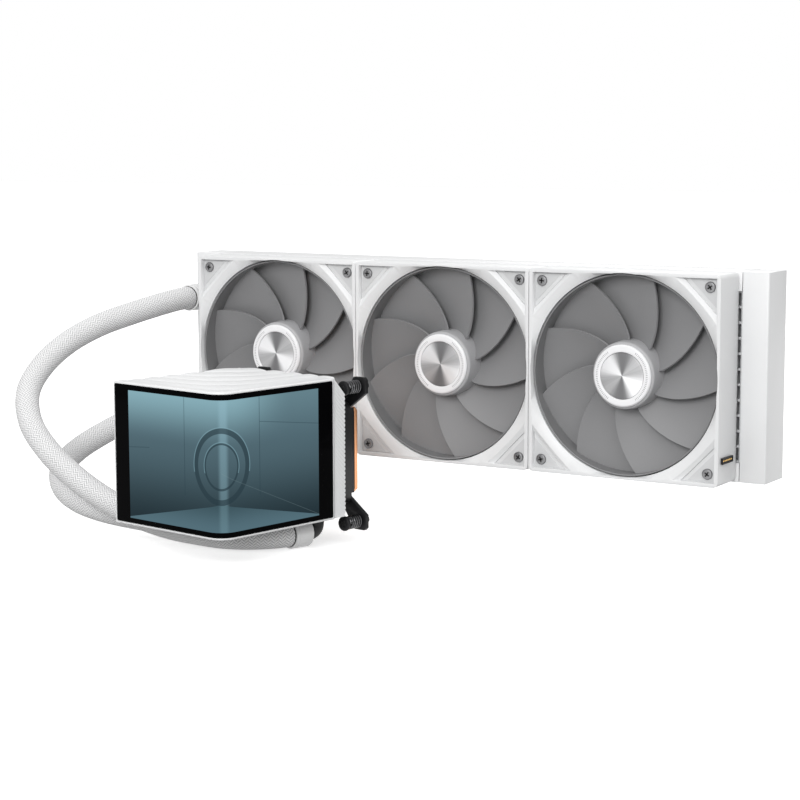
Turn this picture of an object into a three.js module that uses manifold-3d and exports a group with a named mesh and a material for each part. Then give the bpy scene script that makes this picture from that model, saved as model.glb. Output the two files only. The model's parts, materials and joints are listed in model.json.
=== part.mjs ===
// All-in-one liquid cooler: a 360 mm radiator with three fans, two braided hoses and a pump block
// whose display wraps round one upright corner. Millimetres, +Z up. The origin is on the rear face of
// the radiator's upper rail, midway along it, where the radiator meets the case panel. The fans face -Y.
import * as THREE from 'three';
import { mergeVertices } from 'three/addons/utils/BufferGeometryUtils.js';
import Module from 'manifold-3d';

const wasm = await Module();
wasm.setup();

// ---- Driving dimensions ----
const GAP = 0.3;                // clearance kept between pieces that touch
const RADIATOR = {
  depth: 27.1, height: 120, wall: 1.2, railHeight: 11, railEnd: 181.5,
  portEnd: -201, farEnd: 197.6, tankStart: 181.8, tankWall: 1.6, edgeRadius: 0.9,
};
const CORE = { tubes: 12, pitch: 8.84, tubeHeight: 1.6, depth: 23, finRecess: 1.2, header: 1.2 };
const FAN = {
  pitch: 120, side: 119.4, depth: 26, standOff: 0.4, cornerRadius: 3, screwSpacing: 105,
  ductRadius: 58.6, ductFlat: 57.4, mouthRadius: 60.2, mouthFlat: 58.2, mouthDepth: 3,
  padLeg: 21, padInset: 2.2, padDepth: 3.5,
};
const ROTOR = { blades: 9, hubRadius: 20.5, hubFront: 19.2, tipRadius: 56.3, sweep: 0.34 };
const HOSE = { diameter: 14.4, ferruleRadius: 8.5, ferruleBore: 7.7, boreRadius: 3.4 };
const PORTS = { x: -190.5, upperZ: -22.5, lowerZ: -86.5, mouthY: -50.5 };
const PUMP = {
  corner: [-25.1, -240.6, -93.4], yaw: -10.5,        // the display's upright corner, and the block's turn
  bendRadius: 10, glassLength: 86, glassHeight: 77.3, glassThickness: 1.2,
  shellLength: 87.4, shellHeight: 80.2, shellDepth: 8,
  coverLeft: -87.1, coverBack: 96.2, coverTop: 39.8, coverBottom: -37, coverWall: 1.6,
  centreX: -44, centreZ: -6, screwOffset: 39,
};

const TOP = RADIATOR.height / 2 - (RADIATOR.height - RADIATOR.railHeight) / 2;
const MIDDLE = TOP - RADIATOR.height / 2;
const RADIATOR_FRONT = -RADIATOR.depth;
const FAN_BACK = RADIATOR_FRONT - FAN.standOff;
const FAN_FRONT = FAN_BACK - FAN.depth;

// ---- Finishes ----
const finish = (color, roughness, metalness = 0) => ({ color, roughness, metalness });
const WHITE_PAINT = finish(0xe9eaec, 0.45);
const WHITE_PLASTIC = finish(0xeeeff0, 0.4);
const GREY_PLASTIC = finish(0x8d8f93, 0.5);
const BLACK_PLASTIC = finish(0x17181a, 0.5);
const ALUMINIUM = finish(0xc4c7cb, 0.35, 0.9);
const DARK_STEEL = finish(0x55585d, 0.35, 0.9);
const COPPER = finish(0xd08a5c, 0.3, 1);
const BRAID = finish(0xe6e7e9, 0.8);
const GLASS = finish(0x0a0b0c, 0.08);
const DISPLAY = finish(0x466675, 0.3);
const CIRCUIT_GREEN = finish(0x1f5a3c, 0.5);
const RUBBER = finish(0x1c1c1c, 0.9);

// ---- Solids ----

// A closed manifold solid from any closed geometry, with its faces turned outwards.
function solid(geometry) {
  const bare = geometry.clone();
  bare.deleteAttribute('normal');
  bare.deleteAttribute('uv');
  const merged = mergeVertices(bare, 1e-4);
  const vertProperties = new Float32Array(merged.attributes.position.array);
  const index = merged.index.array;
  const triangles = [];
  for (let i = 0; i < index.length; i += 3) {
    const [a, b, c] = [index[i], index[i + 1], index[i + 2]];
    if (a !== b && b !== c && c !== a) triangles.push(a, b, c);
  }
  if (signedVolume(vertProperties, triangles) < 0) triangles.reverse();
  const mesh = new wasm.Mesh({ numProp: 3, vertProperties, triVerts: new Uint32Array(triangles) });
  return new wasm.Manifold(mesh);
}

function signedVolume(positions, triangles) {
  const corner = (i) => new THREE.Vector3().fromArray(positions, triangles[i] * 3);
  let volume = 0;
  for (let i = 0; i < triangles.length; i += 3) {
    volume += corner(i).dot(corner(i + 1).cross(corner(i + 2)));
  }
  return volume;
}

const join = (first, ...others) => others.reduce((whole, piece) => whole.add(piece), first);
const cut = (whole, ...tools) => tools.reduce((rest, tool) => rest.subtract(tool), whole);

function piece(name, body, { color, roughness, metalness }) {
  const { vertProperties, triVerts } = body.getMesh();
  const geometry = new THREE.BufferGeometry();
  geometry.setAttribute('position', new THREE.BufferAttribute(vertProperties, 3));
  geometry.setIndex(new THREE.BufferAttribute(triVerts, 1));
  geometry.computeVertexNormals();
  const mesh = new THREE.Mesh(geometry, new THREE.MeshStandardMaterial({ color, roughness, metalness }));
  mesh.name = name;
  return mesh;
}

// ---- Shapes ----
const outline = (points) => new THREE.Shape(points.map(([x, y]) => new THREE.Vector2(x, y)));

const extruded = (shape, depth) => new THREE.ExtrudeGeometry(shape, { depth, bevelEnabled: false });

// A plan in (x, y) drawn up from z0 to z1.
const alongZ = (points, z0, z1) => solid(extruded(outline(points), z1 - z0).translate(0, 0, z0));

// An elevation in (x, z) drawn back from y0 to y1.
const alongY = (points, y0, y1) =>
  solid(extruded(outline(points), y1 - y0).rotateX(Math.PI / 2).translate(0, y1, 0));

// A section in (y, z) drawn from x0 to x1.
function alongX(points, x0, x1) {
  const turn = new THREE.Matrix4().makeBasis(
    new THREE.Vector3(0, 1, 0), new THREE.Vector3(0, 0, 1), new THREE.Vector3(1, 0, 0));
  return solid(extruded(outline(points), x1 - x0).applyMatrix4(turn).translate(x0, 0, 0));
}

const rectangle = (x0, x1, y0, y1) => [[x0, y0], [x1, y0], [x1, y1], [x0, y1]];

const box = (x0, x1, y0, y1, z0, z1) => alongZ(rectangle(x0, x1, y0, y1), z0, z1);

function arc(cx, cy, radius, from, to, steps) {
  return Array.from({ length: steps + 1 }, (_, i) => {
    const angle = THREE.MathUtils.degToRad(from + ((to - from) * i) / steps);
    return [cx + radius * Math.cos(angle), cy + radius * Math.sin(angle)];
  });
}

function roundedSquare(halfX, halfY, radius, steps = 3, [cx, cy] = [0, 0]) {
  const corners = [[1, 1, 0], [-1, 1, 90], [-1, -1, 180], [1, -1, 270]];
  return corners.flatMap(([sx, sy, from]) =>
    arc(cx + sx * (halfX - radius), cy + sy * (halfY - radius), radius, from, from + 90, steps));
}

// A turned solid about a Y axis through (x, z), from a profile of [radius, y].
function turned(profile, sides, x = 0, z = 0) {
  const points = profile.map(([radius, y]) => new THREE.Vector2(radius, y));
  return solid(new THREE.LatheGeometry(points, sides).translate(x, 0, z));
}

const ring = (inner, outer, y0, y1, sides, x = 0, z = 0) =>
  turned([[inner, y0], [outer, y0], [outer, y1], [inner, y1], [inner, y0]], sides, x, z);

const disc = (radius, y0, y1, sides, x = 0, z = 0) =>
  turned([[0, y0], [radius, y0], [radius, y1], [0, y1]], sides, x, z);

const vector = ([x, y, z]) => new THREE.Vector3(x, y, z);

function tube(shape, points, steps) {
  const extrudePath = new THREE.CatmullRomCurve3(points.map(vector), false, 'centripetal');
  return solid(new THREE.ExtrudeGeometry(shape, { steps, extrudePath, bevelEnabled: false }));
}

// ---- Radiator ----
const fanCentres = [-FAN.pitch, 0, FAN.pitch];
const signs = [-1, 1];
const corners = signs.flatMap((sx) => signs.map((sz) => [sx, sz]));

// Flat coolant tubes with fin rows set back between them, and a header plate at each end.
function radiatorCore() {
  const front = -RADIATOR.depth / 2 - CORE.depth / 2;
  const back = front + CORE.depth;
  const half = CORE.tubeHeight / 2;
  const levels = Array.from({ length: CORE.tubes }, (_, i) =>
    MIDDLE + (i - (CORE.tubes - 1) / 2) * CORE.pitch);
  const frontEdge = levels.flatMap((z, i) => [
    ...(i > 0 ? [[front + CORE.finRecess, z - half]] : []), [front, z - half], [front, z + half],
    ...(i < CORE.tubes - 1 ? [[front + CORE.finRecess, z + half]] : []),
  ]);
  const backEdge = frontEdge.map(([y, z]) => [front + back - y, z]).reverse();
  const plateStart = RADIATOR.tankStart - GAP - CORE.header;
  const comb = alongX([...frontEdge, ...backEdge], -plateStart - GAP, plateStart + GAP);
  const reach = RADIATOR.height / 2 - RADIATOR.wall - GAP;
  const plate = rectangle(front, back, MIDDLE - reach, MIDDLE + reach);
  const plates = [plateStart, -plateStart - CORE.header].map((x) => alongX(plate, x, x + CORE.header));
  return join(comb, ...plates);
}

// A channel that closes the core above or below, drilled for the fan screws and the case screws.
function rail(side) {
  const edge = MIDDLE + side * RADIATOR.height / 2;
  const lip = edge - side * RADIATOR.railHeight;
  const web = edge - side * RADIATOR.wall;
  const section = [
    [RADIATOR_FRONT, lip], [RADIATOR_FRONT, edge], [0, edge], [0, lip],
    [-RADIATOR.wall, lip], [-RADIATOR.wall, web],
    [RADIATOR_FRONT + RADIATOR.wall, web], [RADIATOR_FRONT + RADIATOR.wall, lip],
  ];
  const holes = fanCentres.flatMap((x) => signs.map((s) => disc(
    1.8, RADIATOR_FRONT - 1, 1, 8, x + s * FAN.screwSpacing / 2, MIDDLE + side * FAN.screwSpacing / 2)));
  return cut(alongX(section, -RADIATOR.railEnd, RADIATOR.railEnd), ...holes);
}

// An end tank with rounded outer edges, open towards the core. Its chambers lie one above the other.
function tank(end, chambers) {
  const side = Math.sign(end);
  const start = side * RADIATOR.tankStart;
  const r = RADIATOR.edgeRadius;
  const outer = [
    [start, 0], [start, RADIATOR_FRONT],
    ...arc(end - side * r, RADIATOR_FRONT + r, r, -90, side > 0 ? 0 : -180, 4),
    ...arc(end - side * r, -r, r, side > 0 ? 0 : 180, 90, 4),
  ];
  const wall = RADIATOR.tankWall;
  const bottom = MIDDLE - RADIATOR.height / 2;
  const step = (RADIATOR.height - wall) / chambers;
  const [x0, x1] = [start - side, end - side * wall].sort((a, b) => a - b);
  const hollows = Array.from({ length: chambers }, (_, i) => box(
    x0, x1, RADIATOR_FRONT + wall, -wall, bottom + wall + i * step, bottom + (i + 1) * step));
  return cut(alongZ(outer, bottom, TOP), ...hollows);
}

const portTank = () => cut(
  tank(RADIATOR.portEnd, 2),
  ...[PORTS.upperZ, PORTS.lowerZ].map((z) =>
    disc(HOSE.boreRadius, RADIATOR_FRONT - 1, -20, 8, PORTS.x, z)));

// A flanged spigot on the tank that the hose is pushed over.
function portFitting(z) {
  const seat = RADIATOR_FRONT - GAP;
  const profile = [
    [HOSE.boreRadius, seat], [8, seat], [8, seat - 3.6], [6, seat - 3.6], [6, seat - 8.4],
    [5, seat - 8.4], [5, PORTS.mouthY + 1.5], [HOSE.boreRadius, PORTS.mouthY + 1.5],
    [HOSE.boreRadius, seat],
  ];
  return turned(profile, 12, PORTS.x, z);
}

// A sleeve over the end of a hose, its mouth at y = 0 and its closed end at y = length.
function ferrule(length) {
  const { ferruleRadius: outer, ferruleBore: bore } = HOSE;
  return turned([
    [bore, 0], [outer - 0.3, 0], [outer, 0.4], [outer, length], [6.4, length], [6.4, length - 1],
    [bore, length - 1], [bore, 0],
  ], 16);
}

// ---- Hoses: the route of each centre line, from the radiator's port to the pump's fitting ----
const UPPER_ROUTE = [
  [-190.5, -51, -22.5], [-190.7, -59, -22.7], [-193.5, -76, -25], [-200, -97, -29.5],
  [-207.5, -120, -35.5], [-214, -141.5, -44.5], [-216.5, -162, -56.5], [-212.5, -181, -71],
  [-200.5, -193, -87], [-183, -198.5, -101.5], [-163, -199.5, -115], [-142, -198, -126.5],
  [-119.5, -195.5, -135], [-98, -194, -139.6], [-78.5, -193.2, -141.2], [-61.5, -191.6, -142],
  [-48.7, -187.8, -142], [-38.3, -179.5, -142], [-33.5, -172.6, -142], [-32.2, -168.8, -142],
];
const LOWER_ROUTE = [
  [-190.5, -51, -86.5], [-190.8, -59, -87], [-193.7, -71, -89.5], [-197.5, -86, -93], [-202.5, -102.5, -98],
  [-207.5, -119, -104], [-210.3, -136, -110.3], [-208.5, -152, -116.3], [-201.5, -166, -122.5],
  [-189.5, -176.5, -128.8], [-174, -182.3, -133.5], [-156, -183.7, -136.9], [-138, -181.8, -139.2],
  [-122, -178.4, -140.8], [-107.5, -174.5, -141.7], [-94.2, -170.6, -142], [-83.5, -166.2, -142],
  [-73.9, -159.8, -142], [-71.3, -157.5, -142],
];

const hose = (route, steps) => tube(outline(arc(0, 0, HOSE.diameter / 2, 0, 324, 9)), route, steps);

// ---- Fans ----
const clipped = (radius, flat, steps) => arc(0, 0, radius, 0, 360 - 360 / steps, steps - 1)
  .map((point) => point.map((value) => THREE.MathUtils.clamp(value, -flat, flat)));

// The square frame with its round duct, corner recesses, rear struts and motor plate.
function fanFrame() {
  const half = FAN.side / 2;
  const body = alongY(roundedSquare(half, half, FAN.cornerRadius), FAN_FRONT, FAN_BACK);
  const duct = alongY(clipped(FAN.ductRadius, FAN.ductFlat, 40), FAN_FRONT - 1, FAN_BACK + 1);
  const mouth = alongY(
    clipped(FAN.mouthRadius, FAN.mouthFlat, 40), FAN_FRONT - 1, FAN_FRONT + FAN.mouthDepth);
  const pads = corners.map(([sx, sz]) => {
    const edge = half - FAN.padInset;
    const leg = edge - FAN.padLeg;
    const recess = [[sx * edge, sz * edge], [sx * leg, sz * edge], [sx * edge, sz * leg]];
    return alongY(recess, FAN_FRONT - 1, FAN_FRONT + FAN.padDepth);
  });
  const holes = corners.map(([sx, sz]) =>
    disc(2.2, FAN_FRONT, FAN_BACK + 1, 8, sx * FAN.screwSpacing / 2, sz * FAN.screwSpacing / 2));
  const plateFront = FAN_BACK - 4.2;
  const plate = disc(ROTOR.hubRadius, plateFront, FAN_BACK - 0.7, 24);
  const strut = alongY(rectangle(-62.5, 62.5, -2.2, 2.2), plateFront, FAN_BACK - 0.7);
  const struts = [45, 135].map((angle) => strut.rotate([0, angle, 0]));
  return join(cut(body, duct, mouth, ...pads, ...holes), plate, ...struts);
}

// One blade, wrapped round the fan's axis: wide at the tip, steep at the root and swept forwards.
function blade() {
  const span = ROTOR.tipRadius - ROTOR.hubFront;
  const geometry = new THREE.BoxGeometry(1, 1.3, 1, 2, 1, 3).translate(0.5, 0, 0);
  const position = geometry.attributes.position;
  for (let i = 0; i < position.count; i += 1) {
    const out = position.getX(i);
    const along = position.getZ(i) * THREE.MathUtils.lerp(20, 41, out);
    const pitch = THREE.MathUtils.degToRad(THREE.MathUtils.lerp(38, 23, out));
    const radius = ROTOR.hubFront + out * span - 1.2 * (1 - out);
    const across = along * Math.cos(pitch) - position.getY(i) * Math.sin(pitch);
    const angle = across / radius + ROTOR.sweep * out;
    const depth = along * Math.sin(pitch) + position.getY(i) * Math.cos(pitch);
    position.setXYZ(i, radius * Math.cos(angle), depth, radius * Math.sin(angle));
  }
  return solid(geometry.translate(0, FAN_FRONT + 13, 0));
}

// The hub cup with its shaft and ring of blades.
function fanRotor() {
  const front = FAN_FRONT + 1.7;
  const back = FAN_BACK - 5.5;
  const cup = turned([
    [0, front], [ROTOR.hubFront - 1, front], [ROTOR.hubFront, front + 1], [ROTOR.hubRadius, back],
    [17.5, back], [17.5, front + 2.5], [1.5, front + 2.5], [1.5, back - 1], [0, back - 1],
  ], 18);
  const step = 360 / ROTOR.blades;
  const blades = Array.from({ length: ROTOR.blades }, (_, i) => blade().rotate([0, i * step, 0]));
  return join(cup, ...blades);
}

const hubCap = () => turned([
  [0, FAN_FRONT], [13.4, FAN_FRONT], [13.7, FAN_FRONT + 0.5], [18, FAN_FRONT + 0.5],
  [18, FAN_FRONT + 1.4], [0, FAN_FRONT + 1.4],
], 20);

const fanStator = () => ring(6, 13.5, FAN_BACK - 18, FAN_BACK - 4.5, 12);

// A long screw that passes through the fan into the rail behind it.
function fanScrew() {
  const seat = FAN_FRONT + FAN.padDepth;
  return turned([
    [0, seat - 2.1], [3.15, seat - 2.1], [3.15, seat - 0.1], [1.5, seat - 0.1],
    [1.5, RADIATOR_FRONT + 2.6], [0, RADIATOR_FRONT + 2.6],
  ], 8);
}

// ---- Pump block: its own frame has the display's upright corner on the Z axis, faces at x = 0, y = 0 ----

// The plan of an L-shaped strip that follows both faces, between two depths below their surface.
function cornerStrip(outer, inner, length) {
  const r = PUMP.bendRadius;
  return [
    [-length, outer], ...arc(-r, r, r - outer, -90, 0, 6), [-outer, length],
    [-inner, length], ...arc(-r, r, Math.max(r - inner, 0.5), 0, -90, 6), [-length, inner],
  ];
}

const wrapped = (outer, inner, length, height) =>
  alongZ(cornerStrip(outer, inner, length), -height / 2, height / 2);

const displayGlass = () => wrapped(0, PUMP.glassThickness, PUMP.glassLength, PUMP.glassHeight);
const displayPanel = () => wrapped(PUMP.glassThickness + GAP, 3, 76, 73);

// The white tray that holds the glass and the panel, with a thin lip round them.
function displayShell() {
  const tray = wrapped(0.1, PUMP.shellDepth, PUMP.shellLength, PUMP.shellHeight);
  return cut(tray, wrapped(-1, 3 + GAP, PUMP.glassLength + GAP, PUMP.glassHeight + 2 * GAP));
}

// The ribbed cover behind the tray, open at the back where the pump goes in.
function rearCover() {
  const { shellDepth, coverLeft: left, coverBack, coverTop, coverBottom, coverWall: wall } = PUMP;
  const start = shellDepth + GAP;
  const plan = [
    [left, start], [-start - 2, start], [-start, start + 2], [-start, coverBack], [left, coverBack]];
  const outer = alongZ(plan, coverBottom, coverTop);
  const inner = box(
    left + wall, -start - wall, start + wall, coverBack + 1, coverBottom + wall, coverTop - wall);
  const fittingsWay = box(-80, -start - wall, 73, coverBack + 1, coverBottom - 1, coverBottom + 2);
  const sidePlate = alongX(
    [[87.8, -coverTop], [coverBack, -coverTop], [coverBack, 30.5], [87.8, coverTop]], -start - 0.8, -0.2);
  const grooves = [20, 34, 48, 62, 76].map((depth) => {
    return alongZ([
      [left - 1, depth], [-depth, depth], [-depth, coverBack + 1], [-depth - 1.4, coverBack + 1],
      [-depth - 1.4, depth + 1.4], [left - 1, depth + 1.4],
    ], coverTop - 0.8, coverTop + 1);
  });
  return cut(join(cut(outer, inner, fittingsWay), sidePlate), ...grooves);
}

// The display's driver board with its larger components.
const controllerBoard = () => join(
  box(-78, -18, 13, 14.6, -28, 32), box(-62, -46, 14.5, 16, -4, 12), box(-38, -28, 14.5, 16.6, 10, 20),
  box(-72, -64, 14.5, 19, -26, -10));

const onPumpAxis = [PUMP.centreX, PUMP.centreZ];

// The pump's body: a motor pocket in front, an impeller chamber behind, and two ports underneath.
function pumpHousing() {
  const body = alongY(roundedSquare(33, 30, 5, 2, [PUMP.centreX + 0.7, PUMP.centreZ]), 74, 112);
  const base = alongY(rectangle(-71, -17, -31, 19), 111, 121.3);
  const motorPocket = disc(20, 73, 100, 20, ...onPumpAxis);
  const chamber = disc(17, 103, 122, 20, ...onPumpAxis);
  const sealGroove = ring(18.2, 20.8, 119.8, 122, 20, ...onPumpAxis);
  const ports = FITTINGS.map(({ stub: [x, y] }) =>
    alongZ(arc(x, y, 4, 0, 315, 7), PUMP.centreZ - 31, PUMP.centreZ - 23));
  return cut(join(body, base), motorPocket, chamber, sealGroove, ...ports);
}

const pumpStator = () => ring(9, 19.6, 79, 97, 16, ...onPumpAxis);

function impeller() {
  const hub = disc(4, 105, 117, 12);
  const shroud = disc(14.5, 105, 106.6, 20);
  const vane = box(-14, 14, 106, 114.5, -0.7, 0.7);
  const vanes = [0, 60, 120].map((angle) => vane.rotate([0, angle, 0]));
  return join(hub, shroud, ...vanes).translate([PUMP.centreX, 0, PUMP.centreZ]);
}

const sealRing = () => ring(18.6, 20.4, 120.1, 121.4, 20, ...onPumpAxis);

// The copper plate that meets the processor, with its corners cut and a raised fin block inside.
function coldPlate() {
  const plan = [
    [-69, -31], [-19, -31], [-17, -29], [-17, 17], [-19, 19], [-69, 19], [-71, 17], [-71, -29],
  ];
  const finBlock = box(-55, -33, 119.2, 122, -17, 5);
  return join(alongY(plan, 121.7, 124.2), finBlock);
}

// The clamping frame round the pump's base, with an ear at each corner for a spring screw.
function mountingBracket() {
  const tip = 44.3;
  const quarter = [[30, 25], [tip, tip - 9], [tip, tip - 1.5], [tip - 1.5, tip], [tip - 9, tip], [25, 30]];
  const turns = [[1, 1], [-1, 1], [-1, -1], [1, -1]];
  const plan = turns.flatMap(([sx, sz], i) => {
    const points = quarter.map(([x, z]) => [PUMP.centreX + sx * x, PUMP.centreZ + sz * z]);
    return i % 2 ? points.reverse() : points;
  });
  const opening = alongY(rectangle(-71 - GAP, -17 + GAP, -31 - GAP, 19 + GAP), 111, 116);
  const holes = corners.map(([sx, sz]) => disc(
    2.4, 111, 116, 10, PUMP.centreX + sx * PUMP.screwOffset, PUMP.centreZ + sz * PUMP.screwOffset));
  return cut(alongY(plan, 112.3, 114.9), opening, ...holes);
}

// The spring screw: a flat head in front, then a shank through the spring and the ear.
const CLAMP_SCREW = { front: 99, head: 101.2, end: 119.5, headRadius: 4.3, shankRadius: 2.1, chamfer: 0.5 };

function springScrew() {
  const { front, head, end, headRadius, shankRadius: shank, chamfer } = CLAMP_SCREW;
  return turned([
    [0, front], [headRadius, front], [headRadius, head], [shank, head],
    [shank, end - chamfer], [shank - chamfer, end], [0, end],
  ], 10);
}

const spring = () => ring(2.6, 3.9, CLAMP_SCREW.head + GAP, 112.3 - GAP, 10);

// The two hose fittings under the pump: where each mouth opens, its heading, and its riser into the pump.
const FITTING_Z = -48.6;
const FITTINGS = [
  { name: 'near', mouth: [-20, 70], heading: 8 },
  { name: 'far', mouth: [-60, 74], heading: 36.87 },
].map((fitting) => {
  const turn = THREE.MathUtils.degToRad(fitting.heading);
  const direction = [Math.sin(turn), Math.cos(turn)];
  const stub = fitting.mouth.map((value, i) => value + 18.5 * direction[i]);
  return { ...fitting, direction, stub };
});

function elbow({ mouth, direction, stub }) {
  const along = (distance) => [...mouth.map((value, i) => value + distance * direction[i]), FITTING_Z];
  const route = [
    [...stub, -36.3], [...stub, -40], [...stub, -43], [...along(17.7).slice(0, 2), -46.6],
    along(15).with(2, -48.2), along(12.5), along(6), along(1.5),
  ];
  const section = outline(arc(0, 0, 5.6, 0, 324, 9));
  section.holes.push(new THREE.Path(arc(0, 0, 3.2, 0, 324, 9).map(([x, y]) => new THREE.Vector2(x, y))));
  return tube(section, route, 12);
}

// ---- Assembly ----
const group = new THREE.Group();

group.add(
  piece('radiator_core', radiatorCore(), ALUMINIUM),
  piece('upper_rail', rail(1), WHITE_PAINT),
  piece('lower_rail', rail(-1), WHITE_PAINT),
  piece('port_tank', portTank(), WHITE_PAINT),
  piece('far_tank', tank(RADIATOR.farEnd, 1), WHITE_PAINT),
  piece('upper_hose', hose(UPPER_ROUTE, 30), BRAID),
  piece('lower_hose', hose(LOWER_ROUTE, 22), BRAID),
);

for (const [name, z] of [['upper', PORTS.upperZ], ['lower', PORTS.lowerZ]]) {
  const sleeve = piece(`${name}_port_ferrule`, ferrule(14), WHITE_PLASTIC);
  sleeve.position.set(PORTS.x, PORTS.mouthY, z);
  group.add(piece(`${name}_port_fitting`, portFitting(z), BLACK_PLASTIC), sleeve);
}

fanCentres.forEach((x, i) => {
  const name = `fan_${i + 1}`;
  const fan = new THREE.Group();
  fan.position.set(x, 0, MIDDLE);
  fan.add(
    piece(`${name}_frame`, fanFrame(), WHITE_PLASTIC),
    piece(`${name}_rotor`, fanRotor(), GREY_PLASTIC),
    piece(`${name}_hub_cap`, hubCap(), ALUMINIUM),
    piece(`${name}_stator`, fanStator(), DARK_STEEL),
  );
  corners.forEach(([sx, sz], n) => {
    const screw = piece(`${name}_screw_${n + 1}`, fanScrew(), DARK_STEEL);
    screw.position.set(sx * FAN.screwSpacing / 2, 0, sz * FAN.screwSpacing / 2);
    fan.add(screw);
  });
  group.add(fan);
});

const linkSocketX = FAN.pitch + FAN.side / 2 + GAP;
const linkSocket = box(linkSocketX, linkSocketX + 1.3, -50, -35, -101.2, -97.6);
group.add(piece('fan_link_socket', linkSocket, BLACK_PLASTIC));

const pump = new THREE.Group();
pump.position.set(...PUMP.corner);
pump.rotation.z = THREE.MathUtils.degToRad(PUMP.yaw);
pump.add(
  piece('display_glass', displayGlass(), GLASS),
  piece('display_panel', displayPanel(), DISPLAY),
  piece('display_shell', displayShell(), WHITE_PLASTIC),
  piece('rear_cover', rearCover(), WHITE_PLASTIC),
  piece('controller_board', controllerBoard(), CIRCUIT_GREEN),
  piece('pump_housing', pumpHousing(), BLACK_PLASTIC),
  piece('pump_stator', pumpStator(), DARK_STEEL),
  piece('pump_impeller', impeller(), GREY_PLASTIC),
  piece('seal_ring', sealRing(), RUBBER),
  piece('cold_plate', coldPlate(), COPPER),
  piece('mounting_bracket', mountingBracket(), BLACK_PLASTIC),
);

for (const fitting of FITTINGS) {
  const sleeve = piece(`${fitting.name}_pump_ferrule`, ferrule(12), WHITE_PLASTIC);
  sleeve.position.set(...fitting.mouth, FITTING_Z);
  sleeve.rotation.z = -THREE.MathUtils.degToRad(fitting.heading);
  pump.add(sleeve, piece(`${fitting.name}_elbow`, elbow(fitting), BLACK_PLASTIC));
}

corners.forEach(([sx, sz], n) => {
  const screw = piece(`spring_screw_${n + 1}`, springScrew(), BLACK_PLASTIC);
  const coil = piece(`spring_${n + 1}`, spring(), DARK_STEEL);
  for (const part of [screw, coil]) {
    part.position.set(PUMP.centreX + sx * PUMP.screwOffset, 0, PUMP.centreZ + sz * PUMP.screwOffset);
    pump.add(part);
  }
});
group.add(pump);

export default group;
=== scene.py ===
"""Looks of a closed-loop liquid cooler: radiator, three fans, two braided hoses and a display pump block."""

import json
import logging
import math
from collections.abc import Sequence
from dataclasses import dataclass
from enum import Enum

import bmesh
import bpy
from mathutils import Matrix, Vector


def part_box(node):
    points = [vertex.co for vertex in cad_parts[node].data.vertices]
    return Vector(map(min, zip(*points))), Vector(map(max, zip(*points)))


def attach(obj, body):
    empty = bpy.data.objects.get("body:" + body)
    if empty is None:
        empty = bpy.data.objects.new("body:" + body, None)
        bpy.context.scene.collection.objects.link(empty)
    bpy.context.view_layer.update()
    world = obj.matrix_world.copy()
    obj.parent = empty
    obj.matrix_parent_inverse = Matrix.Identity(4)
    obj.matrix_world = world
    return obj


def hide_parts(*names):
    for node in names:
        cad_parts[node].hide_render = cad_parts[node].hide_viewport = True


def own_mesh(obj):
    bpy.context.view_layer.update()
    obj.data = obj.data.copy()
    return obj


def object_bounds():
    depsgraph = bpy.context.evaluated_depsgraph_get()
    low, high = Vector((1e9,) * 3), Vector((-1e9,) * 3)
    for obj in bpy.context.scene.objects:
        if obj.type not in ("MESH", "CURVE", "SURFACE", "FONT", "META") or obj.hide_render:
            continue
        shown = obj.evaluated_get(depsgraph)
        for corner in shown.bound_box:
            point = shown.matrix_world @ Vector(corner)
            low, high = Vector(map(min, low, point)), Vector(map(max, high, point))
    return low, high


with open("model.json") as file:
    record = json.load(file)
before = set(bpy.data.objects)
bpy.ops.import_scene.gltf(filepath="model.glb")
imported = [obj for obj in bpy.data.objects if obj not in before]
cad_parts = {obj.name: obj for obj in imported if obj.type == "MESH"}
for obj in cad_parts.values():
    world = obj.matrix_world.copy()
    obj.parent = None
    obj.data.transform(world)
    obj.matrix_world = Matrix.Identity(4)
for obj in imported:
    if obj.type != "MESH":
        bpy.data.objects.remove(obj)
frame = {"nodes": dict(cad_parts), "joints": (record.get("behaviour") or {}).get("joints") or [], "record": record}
CAD_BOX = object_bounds()

log = logging.getLogger("cooler")
MM = 0.001
ROOT = "cooler"
SHARP = math.radians(34)
FLAT = math.radians(0.6)
WELD = 0.000002
Point = tuple[float, float, float]


def joint(name: str) -> dict:
    """The record's joint of that name.

    Args:
        name: the joint's name.

    Returns:
        Its entry in the frame.
    """
    return next(entry for entry in frame["joints"] if entry["name"] == name)


def mount(name: str) -> dict:
    """The record's mount of that name.

    Args:
        name: the mount's name.

    Returns:
        Its entry in the record.
    """
    return next(entry for entry in frame["record"]["mounts"] if entry["name"] == name)


# ---- Materials: sockets as values, and one method that makes a node ----

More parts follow.
